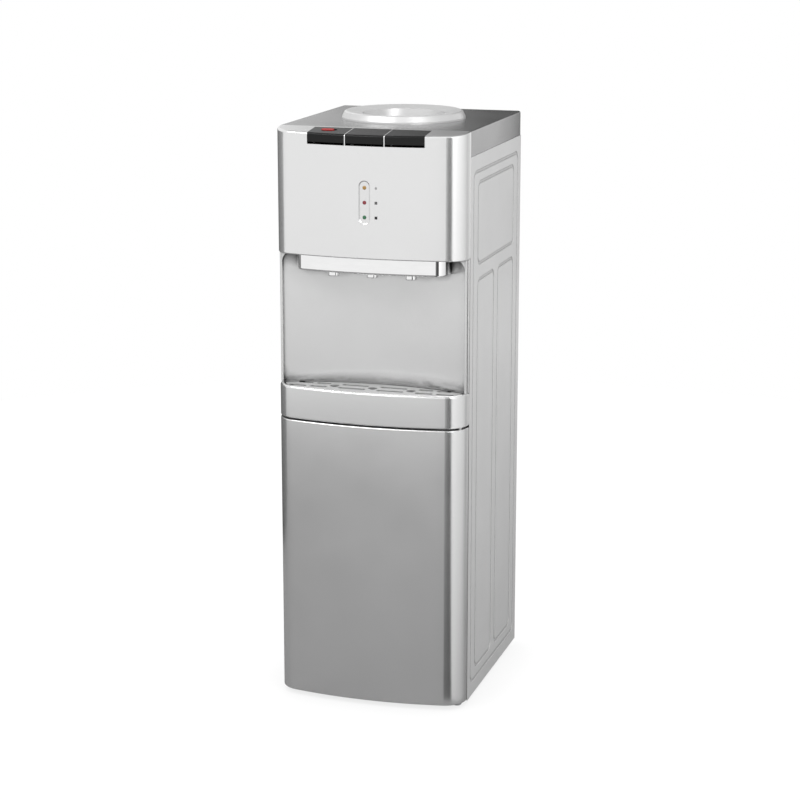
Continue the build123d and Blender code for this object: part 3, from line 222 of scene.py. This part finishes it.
def relief(tree, shader, *layers):
    """Bump from one or more (height, distance) layers."""
    normal = None
    for height, distance in layers:
        node = add(tree, "ShaderNodeBump")
        node.inputs["Distance"].default_value = distance
        tree.links.new(height, node.inputs["Height"])
        if normal is not None:
            tree.links.new(normal, node.inputs["Normal"])
        normal = node.outputs["Normal"]
    tree.links.new(normal, shader.inputs["Normal"])


def tinted(colour, share):
    return tuple(min(1.0, c * share) for c in colour[:3]) + (1.0,)


def paint(tree, shader, factor, colour, low, high, start=NOISE_LOW, end=NOISE_HIGH):
    """Base colour that runs from a low to a high share of colour with factor."""
    shade = ramp(tree, factor, tinted(colour, low), tinted(colour, high), start, end)
    tree.links.new(shade, shader.inputs["Base Color"])


def dull(tree, shader, factor, low, high):
    """Roughness that runs from low to high with factor."""
    tree.links.new(spread(tree, factor, low, high), shader.inputs["Roughness"])


def painted_hollow_shade(tree, colour, reach, deepest, start, end):
    """Colour with painted shade: darkened where the surface closes in on itself within reach."""
    nearness = add(tree, "ShaderNodeAmbientOcclusion")
    nearness.inputs["Distance"].default_value = reach
    product = add(tree, "ShaderNodeMix", data_type="RGBA", blend_type="MULTIPLY")
    product.inputs["Factor"].default_value = 1.0
    tree.links.new(colour, product.inputs[MIX_FIRST])
    shadow = ramp(tree, nearness.outputs["AO"], grey(deepest), grey(1.0), start, end)
    tree.links.new(shadow, product.inputs[MIX_SECOND])
    return product.outputs[MIX_RESULT]


def lacquer(name, colour, metallic, roughness, hollow_shade=None):
    """Metallic lacquer: flakes, a trace of orange peel, handling marks in its gloss, and painted shade in
    its hollows where asked.
    """
    material, tree, shader = new_material(name)
    flakes = noise(tree, FLAKE_SCALE, 2.0)
    peel = noise(tree, PEEL_SCALE, 1.0)
    smudges = noise(tree, SMUDGE_SCALE, 4.0)
    shade = ramp(tree, flakes, tinted(colour, 0.93), tinted(colour, 1.06))
    if hollow_shade:
        # Painted shade darkens the colour in the hollows.
        shade = painted_hollow_shade(tree, shade, *hollow_shade)
    tree.links.new(shade, shader.inputs["Base Color"])
    dull(tree, shader, smudges, roughness - 0.02, roughness + 0.03)
    shader.inputs["Metallic"].default_value = metallic
    relief(tree, shader, (flakes, FLAKE_RELIEF), (peel, PEEL_RELIEF))
    return material


def powder_coat(name, colour, roughness):
    """Baked coat on sheet steel, with a fine even texture and painted shade along its pressings."""
    material, tree, shader = new_material(name)
    grain = noise(tree, GRAIN_SCALE, 2.0)
    broad = noise(tree, SMUDGE_SCALE, 3.0)
    shade = ramp(tree, broad, tinted(colour, 0.98), tinted(colour, 1.02))
    # Painted shade along the pressed grooves of the sheet.
    shade = painted_hollow_shade(tree, shade, *PRESS_PAINTED_SHADE)
    tree.links.new(shade, shader.inputs["Base Color"])
    dull(tree, shader, grain, roughness - 0.03, roughness + 0.05)
    shader.inputs["Metallic"].default_value = 0.2
    relief(tree, shader, (grain, GRAIN_RELIEF / 4))
    return material


def plating(name, colour, roughness):
    """Polished plating with faint wipe marks."""
    material, tree, shader = new_material(name)
    wipes = noise(tree, SMUDGE_SCALE * 3, 4.0, (1, 1, 4))
    paint(tree, shader, wipes, colour, 0.98, 1.02)
    dull(tree, shader, wipes, roughness, roughness + 0.03)
    shader.inputs["Metallic"].default_value = 1.0
    relief(tree, shader, (noise(tree, PEEL_SCALE / 3, 1.0), PEEL_RELIEF / 4))
    return material


def gloss_plastic(name, colour, roughness, coat=0.3, specular=0.5):
    """Moulded gloss plastic: a slight flow in its colour and fine marks in its gloss."""
    material, tree, shader = new_material(name)
    flow = noise(tree, SMUDGE_SCALE * 2, 3.0)
    marks = noise(tree, GRAIN_SCALE / 4, 4.0)
    paint(tree, shader, flow, colour, 0.96, 1.04)
    dull(tree, shader, marks, roughness - 0.02, roughness + 0.04)
    shader.inputs["Specular IOR Level"].default_value = specular
    shader.inputs["Coat Weight"].default_value = coat
    shader.inputs["Coat Roughness"].default_value = 0.05
    relief(tree, shader, (noise(tree, PEEL_SCALE, 1.0), PEEL_RELIEF / 2))
    return material


def matt_plastic(name, colour, roughness, specular=0.5):
    """Moulded plastic with a spark-eroded grain."""
    material, tree, shader = new_material(name)
    grain = noise(tree, GRAIN_SCALE * 1.4, 3.0)
    flow = noise(tree, SMUDGE_SCALE * 2, 3.0)
    paint(tree, shader, flow, colour, 0.985, 1.015)
    dull(tree, shader, grain, roughness - 0.05, roughness + 0.08)
    shader.inputs["Specular IOR Level"].default_value = specular
    relief(tree, shader, (grain, GRAIN_RELIEF))
    return material


def soft_rubber(name, colour):
    """Matt rubber with a little dust."""
    material, tree, shader = new_material(name)
    grain = noise(tree, GRAIN_SCALE, 4.0)
    dust = noise(tree, SMUDGE_SCALE * 4, 4.0)
    paint(tree, shader, dust, colour, 0.85, 1.3)
    dull(tree, shader, grain, 0.72, 0.88)
    relief(tree, shader, (grain, GRAIN_RELIEF))
    return material


def zinc_sheet(name, colour):
    """Zinc-coated sheet with its spangle."""
    material, tree, shader = new_material(name)
    cells = add(tree, "ShaderNodeTexVoronoi")
    cells.inputs["Scale"].default_value = SPANGLE_SCALE
    tree.links.new(object_coordinates(tree), cells.inputs["Vector"])
    patch = add(tree, "ShaderNodeRGBToBW")
    tree.links.new(cells.outputs["Color"], patch.inputs["Color"])
    paint(tree, shader, patch.outputs["Val"], colour, 0.86, 1.12, 0.1, 0.9)
    dull(tree, shader, patch.outputs["Val"], 0.34, 0.5)
    shader.inputs["Metallic"].default_value = 0.85
    relief(tree, shader, (noise(tree, PEEL_SCALE, 2.0), PEEL_RELIEF))
    return material


def drawn_metal(name, colour, roughness, stretch):
    """Drawn or brushed metal, with lines along one axis."""
    material, tree, shader = new_material(name)
    lines = noise(tree, GRAIN_SCALE, 3.0, stretch)
    paint(tree, shader, lines, colour, 0.88, 1.08)
    dull(tree, shader, lines, roughness - 0.06, roughness + 0.08)
    shader.inputs["Metallic"].default_value = 1.0
    relief(tree, shader, (lines, PEEL_RELIEF / 2))
    return material


def enamel(name, colour):
    """Thick black enamel on steel."""
    material, tree, shader = new_material(name)
    runs = noise(tree, PEEL_SCALE / 2, 3.0)
    paint(tree, shader, runs, colour, 0.8, 1.5)
    dull(tree, shader, runs, 0.3, 0.48)
    relief(tree, shader, (runs, PEEL_RELIEF * 4))
    return material


def foam(name, colour):
    """Expanded foam with its beads."""
    material, tree, shader = new_material(name)
    beads = add(tree, "ShaderNodeTexVoronoi")
    beads.inputs["Scale"].default_value = FOAM_SCALE
    tree.links.new(object_coordinates(tree), beads.inputs["Vector"])
    depth = beads.outputs["Distance"]
    paint(tree, shader, depth, colour, 1.0, 0.84, 0.2, 0.8)
    dull(tree, shader, depth, 0.8, 0.95)
    relief(tree, shader, (depth, GRAIN_RELIEF * 4))
    return material


def lens(name, colour):
    """Tinted lens of an indicator, lit a little from behind."""
    material, tree, shader = new_material(name)
    cloud = noise(tree, GRAIN_SCALE / 3, 2.0)
    paint(tree, shader, cloud, colour, 0.8, 1.15)
    dull(tree, shader, cloud, 0.12, 0.2)
    shader.inputs["Coat Weight"].default_value = 0.6
    shader.inputs["Emission Color"].default_value = colour
    shader.inputs["Emission Strength"].default_value = LENS_GLOW
    return material


def make_materials():
    """Finish for each material slot, and one more for the recess: a darker copy of the front's lacquer with
    painted shade.
    """
    recipes = {
        "silver_front": (lacquer, grey(0.77), dict(metallic=0.9, roughness=0.22)),
        # Recess: a darker copy of the front's lacquer, with painted shade in its hollows.
        "silver_recess": (lacquer, grey(0.68), dict(metallic=0.8, roughness=0.24, hollow_shade=RECESS_PAINTED_SHADE)),
        "silver_cover": (lacquer, grey(0.36), dict(metallic=0.85, roughness=0.24)),
        "steel_side": (powder_coat, grey(0.6), dict(roughness=0.4)),
        "chrome": (plating, grey(0.86), dict(roughness=0.05)),
        "black_key": (gloss_plastic, grey(0.012), dict(roughness=0.2, coat=0.0, specular=0.15)),
        "lock_red": (gloss_plastic, (0.3, 0.006, 0.005, 1), dict(roughness=0.28, coat=0.0, specular=0.1)),
        # Grille: painted shade darkens its slots.
        "grille_silver": (lacquer, grey(0.6), dict(metallic=0.6, roughness=0.3, hollow_shade=GRILLE_PAINTED_SHADE)),
        "tray_grey": (matt_plastic, grey(0.008), dict(roughness=0.7, specular=0.1)),
        "seat_white": (lacquer, grey(0.58), dict(metallic=0.4, roughness=0.34)),
        "liner_white": (matt_plastic, (0.74, 0.74, 0.73, 1), dict(roughness=0.45)),
        "gasket_grey": (soft_rubber, grey(0.22), {}),
        "rubber_black": (soft_rubber, grey(0.022), {}),
        "zinc_sheet": (zinc_sheet, (0.47, 0.48, 0.49, 1), {}),
        "plain_steel": (drawn_metal, grey(0.58), dict(roughness=0.3, stretch=(1, 1, 12))),
        "magnet_dark": (matt_plastic, grey(0.04), dict(roughness=0.5)),
        "rod_plastic": (matt_plastic, (0.78, 0.77, 0.74, 1), dict(roughness=0.4)),
        # Indicator plate: painted shade makes a dark outline along its dish walls.
        "indicator_silver": (lacquer, grey(0.75), dict(metallic=0.9, roughness=0.22, hollow_shade=DISH_PAINTED_SHADE)),
        "board_green": (matt_plastic, (0.02, 0.14, 0.05, 1), dict(roughness=0.4)),
        "led_amber": (lens, (0.34, 0.19, 0.04, 1), {}),
        "led_red": (lens, (0.2, 0.012, 0.02, 1), {}),
        "led_green": (lens, (0.012, 0.12, 0.045, 1), {}),
        "stainless": (drawn_metal, grey(0.6), dict(roughness=0.28, stretch=(12, 12, 1))),
        "evaporator_tube": (drawn_metal, grey(0.62), dict(roughness=0.35, stretch=(1, 1, 20))),
        "foam": (foam, (0.84, 0.83, 0.79, 1), {}),
        "silicone": (gloss_plastic, (0.68, 0.67, 0.62, 1), dict(roughness=0.35)),
        "black_paint": (enamel, grey(0.016), {}),
        "black_plastic": (matt_plastic, grey(0.022), dict(roughness=0.5)),
    }
    return {name: make(name, colour, **values) for name, (make, colour, values) in recipes.items()}


def dress_nodes(materials):
    """Give each node its slot's finish, with the recess in a darker copy of the lacquer that paints shade
    on it.
    """
    for part in frame["record"]["subparts"]:
        mesh = nodes[part["node"]].data
        mesh.materials.clear()
        mesh.materials.append(materials[part["material_slot"]])
    nodes["recess_panel"].data.materials[0] = materials["silver_recess"]


def new_piece(name, shape, materials):
    mesh = bpy.data.meshes.new(name)
    shape.normal_update()
    shape.to_mesh(mesh)
    shape.free()
    for material in materials:
        mesh.materials.append(material)
    piece = bpy.data.objects.new(name, mesh)
    bpy.context.scene.collection.objects.link(piece)
    return piece


def soften(piece, width):
    bevel = piece.modifiers.new("soft_edges", "BEVEL")
    bevel.width = width
    bevel.segments = BEVEL_SEGMENTS
    bevel.limit_method = "ANGLE"
    for face in piece.data.polygons:
        face.use_smooth = True


def around(centre, degrees, distance):
    """Point on the floor plan at an angle from straight ahead towards the right, seen from centre."""
    turn = math.radians(degrees)
    return centre[0] + distance * math.sin(turn), centre[1] - distance * math.cos(turn)


def add_plate(shape, outline, y_front, y_back, slot):
    """Closed plate from an outline in (x, z), between two depths."""
    front = [shape.verts.new((x, y_front, z)) for x, z in outline]
    back = [shape.verts.new((x, y_back, z)) for x, z in outline]
    faces = [shape.faces.new(front), shape.faces.new(back[::-1])]
    for n in range(len(outline)):
        after = (n + 1) % len(outline)
        faces.append(shape.faces.new((front[after], front[n], back[n], back[after])))
    for face in faces:
        face.material_index = slot


def add_sheet(shape, plan, z_low, z_high):
    """Closed sheet from a plan in (x, y), counter-clockwise from above, between two heights."""
    low = [shape.verts.new((x, y, z_low)) for x, y in plan]
    high = [shape.verts.new((x, y, z_high)) for x, y in plan]
    shape.faces.new(low[::-1])
    shape.faces.new(high)
    for n in range(len(plan)):
        after = (n + 1) % len(plan)
        shape.faces.new((low[n], low[after], high[after], high[n]))


def drop_outline(x, z, size):
    """Drop with its point upward, counter-clockwise as seen from the front."""
    radius = size * DROP_RADIUS
    centre = z - size * DROP_SINK
    points = [(x, z + size * DROP_POINT)]
    for step in range(DROP_STEPS + 1):
        turn = math.radians(DROP_START + step * DROP_TURN / DROP_STEPS)
        points.append((x + radius * math.cos(turn), centre + radius * math.sin(turn)))
    return points


def square_outline(x, z, size):
    half = size / 2
    return [(x - half, z - half), (x + half, z - half), (x + half, z + half), (x - half, z + half)]


def make_marks():
    """Three small plain marks, one beside each indicator light."""
    surface = FRONT_Y + BOW_RADIUS - math.sqrt(BOW_RADIUS ** 2 - MARK_X ** 2)
    y_front = surface - MARK_PROUD
    y_back = surface + MARK_SUNK
    outlines = (
        drop_outline(MARK_X, INDICATOR_Z + INDICATOR_PITCH, MARK_SIZE),
        square_outline(MARK_X, INDICATOR_Z, MARK_SIZE),
        square_outline(MARK_X, INDICATOR_Z - INDICATOR_PITCH, MARK_SIZE),
    )
    shape = bmesh.new()
    for slot, outline in enumerate(outlines):
        add_plate(shape, outline, y_front, y_back, slot)
    inks = [matt_plastic(name, grey(level), INK_ROUGHNESS) for name, level in INKS.items()]
    marks = new_piece("indicator_marks", shape, inks)
    soften(marks, MARK_PROUD / 2)
    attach(marks, "cabinet")


def stadium_outline(low, high, inset):
    """Upright stadium inside a box in (x, z), counter-clockwise as seen from the front."""
    centre_x = (low[0] + high[0]) / 2
    end = (high[0] - low[0]) / 2
    radius = end - inset
    points = []
    for centre_z, start in ((high[2] - end, 0), (low[2] + end, 180)):
        for step in range(DISH_STEPS + 1):
            turn = math.radians(start + step * 180 / DISH_STEPS)
            points.append((centre_x + radius * math.cos(turn), centre_z + radius * math.sin(turn)))
    return points


def make_dish(finish):
    """Indicator plate with a rim that slopes down to its flat floor."""
    low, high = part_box("indicator_plate")
    rim = stadium_outline(low, high, 0)
    floor = stadium_outline(low, high, DISH_SLOPE)
    shape = bmesh.new()
    rings = []
    for outline, depth in ((floor, DISH_FLOOR), (rim, DISH_RIM), (rim, DISH_BACK)):
        rings.append([shape.verts.new((x, FRONT_Y + depth, z)) for x, z in outline])
    inner, edge, back = rings
    shape.faces.new(inner)
    shape.faces.new(back[::-1])
    for n in range(len(rim)):
        after = (n + 1) % len(rim)
        shape.faces.new((edge[n], edge[after], inner[after], inner[n]))
        shape.faces.new((edge[after], edge[n], back[n], back[after]))
    dish = new_piece("indicator_dish", shape, [finish])
    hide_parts("indicator_plate")
    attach(dish, "cabinet")


def make_beads(finish):
    """Rounded beads along both edges of the recess."""
    shape = bmesh.new()
    corners = (
        (BEAD_INNER_X, BEAD_FRONT_Y),
        (BEAD_OUTER_X, BEAD_FRONT_Y),
        (BEAD_OUTER_X, BEAD_BACK_Y),
        (BEAD_INNER_X, BEAD_BACK_Y),
    )
    for side in (-1, 1):
        plan = [(side * x, y) for x, y in corners[::side]]
        add_sheet(shape, plan, BEAD_LOW, BEAD_HIGH)
    beads = new_piece("recess_beads", shape, [finish])
    soften(beads, BEAD_ROUND)
    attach(beads, "cabinet")


def make_bracket(finish):
    """Lower hinge bracket, its outer corner rounded so that it stays under the door."""
    low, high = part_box("hinge_bracket")
    centre = (high[0] - BRACKET_CORNER, low[1] + BRACKET_CORNER)
    plan = [(low[0], high[1]), (low[0], low[1])]
    for step in range(BRACKET_STEPS + 1):
        plan.append(around(centre, step * 90 / BRACKET_STEPS, BRACKET_CORNER))
    plan.append((high[0], high[1]))
    tab_y = high[1] - BRACKET_SHEET
    tab = [(low[0], high[1]), (low[0], tab_y), (high[0], tab_y), (high[0], high[1])]
    shape = bmesh.new()
    add_sheet(shape, plan, low[2], low[2] + BRACKET_SHEET)
    add_sheet(shape, tab, low[2] + BRACKET_SHEET, high[2])
    bracket = new_piece("rounded_bracket", shape, [finish])
    soften(bracket, BRACKET_ROUND)
    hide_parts("hinge_bracket")
    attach(bracket, "cabinet")


def place_camera():
    """Camera on its sphere around the target, turned to it."""
    data = bpy.data.cameras.new("camera")
    data.sensor_width = SENSOR_MM
    data.lens = FOCAL_PIXELS / IMAGE_WIDTH * SENSOR_MM
    camera = bpy.data.objects.new("camera", data)
    bpy.context.scene.collection.objects.link(camera)
    back = Vector((
        math.sin(CAMERA_YAW) * math.cos(CAMERA_PITCH),
        -math.cos(CAMERA_YAW) * math.cos(CAMERA_PITCH),
        math.sin(CAMERA_PITCH),
    ))
    camera.location = CAMERA_TARGET + back * CAMERA_DISTANCE
    camera.rotation_euler = (-back).to_track_quat("-Z", "Y").to_euler()
    bpy.context.scene.camera = camera


def make_world():
    """White to the eye and in reflections, a plain grey for the light it sheds."""
    world = bpy.data.worlds.new("studio")
    world.use_nodes = True
    bpy.context.scene.world = world
    tree = world.node_tree
    background = tree.nodes["Background"]
    background.inputs["Color"].default_value = grey(1.0)
    path = add(tree, "ShaderNodeLightPath")
    seen = add(tree, "ShaderNodeMath", operation="MAXIMUM")
    tree.links.new(path.outputs["Is Camera Ray"], seen.inputs[0])
    tree.links.new(path.outputs["Is Glossy Ray"], seen.inputs[1])
    shown = add(tree, "ShaderNodeMath", operation="MAXIMUM")
    tree.links.new(seen.outputs[0], shown.inputs[0])
    tree.links.new(path.outputs["Is Transmission Ray"], shown.inputs[1])
    level = add(tree, "ShaderNodeMapRange")
    level.inputs["To Min"].default_value = AMBIENT
    level.inputs["To Max"].default_value = 1.0
    tree.links.new(shown.outputs[0], level.inputs["Value"])
    tree.links.new(level.outputs["Result"], background.inputs["Strength"])


def floor_material():
    """Pale floor: white to the eye, with a painted contact shadow near the part and a faint real shadow;
    its plain self to everything else.
    """
    material = bpy.data.materials.new("studio_floor")
    material.use_nodes = True
    tree = material.node_tree
    tree.nodes.clear()
    output = add(tree, "ShaderNodeOutputMaterial")
    plain = add(tree, "ShaderNodeBsdfDiffuse")
    plain.inputs["Color"].default_value = grey(FLOOR_ALBEDO)
    shade = add(tree, "ShaderNodeBsdfDiffuse")
    shade.inputs["Color"].default_value = grey(FLOOR_SHADE)
    # Painted contact shadow: the floor's glow dims where the part closes over it.
    nearness = add(tree, "ShaderNodeAmbientOcclusion")
    nearness.inputs["Distance"].default_value = CONTACT_REACH
    painted_contact_shadow = add(tree, "ShaderNodeMapRange")
    painted_contact_shadow.inputs["To Min"].default_value = FLOOR_CONTACT_SHADOW
    painted_contact_shadow.inputs["To Max"].default_value = FLOOR_GLOW
    tree.links.new(nearness.outputs["AO"], painted_contact_shadow.inputs["Value"])
    glow = add(tree, "ShaderNodeEmission")
    tree.links.new(painted_contact_shadow.outputs["Result"], glow.inputs["Strength"])
    white = add(tree, "ShaderNodeAddShader")
    tree.links.new(shade.outputs[0], white.inputs[0])
    tree.links.new(glow.outputs[0], white.inputs[1])
    path = add(tree, "ShaderNodeLightPath")
    mix = add(tree, "ShaderNodeMixShader")
    tree.links.new(path.outputs["Is Camera Ray"], mix.inputs["Fac"])
    tree.links.new(plain.outputs[0], mix.inputs[1])
    tree.links.new(white.outputs[0], mix.inputs[2])
    tree.links.new(mix.outputs[0], output.inputs["Surface"])
    return material


def make_floor():
    """Round floor under the part."""
    shape = bmesh.new()
    bmesh.ops.create_circle(shape, cap_ends=True, segments=FLOOR_SEGMENTS, radius=FLOOR_RADIUS)
    mesh = bpy.data.meshes.new("studio_floor")
    shape.to_mesh(mesh)
    shape.free()
    mesh.materials.append(floor_material())
    floor = bpy.data.objects.new("studio_floor", mesh)
    bpy.context.scene.collection.objects.link(floor)


def area_light(name, place, aim, size, power):
    data = bpy.data.lights.new(name, "AREA")
    data.shape = "RECTANGLE"
    data.size, data.size_y = size
    data.energy = power
    light = bpy.data.objects.new(name, data)
    bpy.context.scene.collection.objects.link(light)
    light.location = place
    light.rotation_euler = (Vector(aim) - Vector(place)).to_track_quat("-Z", "Y").to_euler()
    return light


def card_material():
    """Glow of the studio cards, set at their corners."""
    material = bpy.data.materials.new("studio_card")
    material.use_nodes = True
    tree = material.node_tree
    tree.nodes.clear()
    output = add(tree, "ShaderNodeOutputMaterial")
    level = add(tree, "ShaderNodeAttribute", attribute_name="glow")
    glow = add(tree, "ShaderNodeEmission")
    tree.links.new(level.outputs["Fac"], glow.inputs["Strength"])
    tree.links.new(glow.outputs[0], output.inputs["Surface"])
    return material


def card(name, material, low, high, low_edge, high_edge, low_glow, high_glow):
    """Studio card between two edges on the floor plan at two heights, seen only in reflections."""
    mesh = bpy.data.meshes.new(name)
    corners = [(*place, low) for place in low_edge] + [(*place, high) for place in high_edge[::-1]]
    mesh.from_pydata(corners, [], [(0, 1, 2, 3)])
    levels = mesh.attributes.new("glow", "FLOAT", "POINT")
    for corner, level in zip(levels.data, (*low_glow, *high_glow[::-1])):
        corner.value = level
    mesh.materials.append(material)
    piece = bpy.data.objects.new(name, mesh)
    bpy.context.scene.collection.objects.link(piece)
    piece.visible_camera = False
    piece.visible_diffuse = False
    piece.visible_transmission = False
    piece.visible_shadow = False


def make_lights():
    """Soft lamps, of which the one behind is kept out of reflections."""
    area_light("key", place=(-1.4, -2.0, 3.4), aim=(0, 0, 0.6), size=(2.0, 2.0), power=75)
    area_light("right", place=(2.2, -2.3, 2.2), aim=(0.1, 0, 0.5), size=(1.2, 1.6), power=60)
    area_light("overhead", place=(0.2, 0.5, 3.2), aim=(0, 0, 0.9), size=(1.6, 1.6), power=22)
    behind = area_light("back", place=(-1.2, 2.6, 1.4), aim=(0, 0.2, 0.4), size=(1.4, 1.4), power=30)
    behind.visible_glossy = False
    area_light("side_fill", place=(2.6, 0.4, 0.5), aim=(0.16, 0, 0.25), size=(1.4, 0.8), power=12)


def make_cards():
    """Cards that the bowed front, its corners and the top mirror."""
    paper = card_material()
    right = (CORNER_X, CORNER_Y)
    left = (-CORNER_X, CORNER_Y)
    low_edge = (around(right, 11, CARD_CLOSE), around(right, 41, CARD_CLOSE))
    high_edge = (around(right, 13, CARD_NEAR), around(right, 36, CARD_NEAR))
    card("right_flag", paper, 0, CARD_TOP, low_edge, high_edge, low_glow=(0.08, 0.0), high_glow=(0.3, 0.0))
    low_edge = (around(right, 42, CARD_CLOSE), around(right, 115, CARD_CLOSE))
    high_edge = (around(right, 37, CARD_NEAR), around(right, 125, CARD_NEAR))
    card("right_card", paper, 0, CARD_TOP, low_edge, high_edge, low_glow=(0.7, 0.25), high_glow=(1.75, 0.5))
    edge = (around(right, 126, CARD_NEAR), around(right, 168, 2 * CARD_NEAR))
    card("right_grey", paper, 0, CARD_TOP, edge, edge, low_glow=(0.25, 0.25), high_glow=(0.7, 1.3))
    edge = (around(left, -165, LEFT_DISTANCE), around(left, -78, LEFT_DISTANCE))
    card("left_flag", paper, 0, LEFT_TOP, edge, edge, low_glow=(0.0, 0.15), high_glow=(0.0, 0.35))
    edge = ((BACK_MIDDLE, BACK_Y), (BACK_RIGHT, BACK_Y))
    card("back_flag", paper, BACK_LOW, ROOF_LOW, edge, edge, low_glow=(0.05, 0.02), high_glow=(0.1, 0.06))
    edge = ((BACK_LEFT, BACK_Y), (BACK_MIDDLE, BACK_Y))
    card("back_fade", paper, BACK_LOW, ROOF_LOW, edge, edge, low_glow=(0.8, 0.05), high_glow=(0.8, 0.1))
    low_edge = ((ROOF_LEFT, BACK_Y), (BACK_RIGHT, BACK_Y))
    high_edge = ((ROOF_LEFT, ROOF_FRONT_Y), (BACK_RIGHT, ROOF_FRONT_Y))
    card("roof_flag", paper, ROOF_LOW, ROOF_HIGH, low_edge, high_edge,
         low_glow=(0.3, 0.15), high_glow=(0.5, 0.5))


finishes = make_materials()
dress_nodes(finishes)
make_marks()
make_dish(finishes["indicator_silver"])
make_beads(finishes["silver_front"])
make_bracket(finishes["zinc_sheet"])
place_camera()
make_world()
make_floor()
make_lights()
make_cards()
bpy.context.scene.view_settings.view_transform = "Standard"
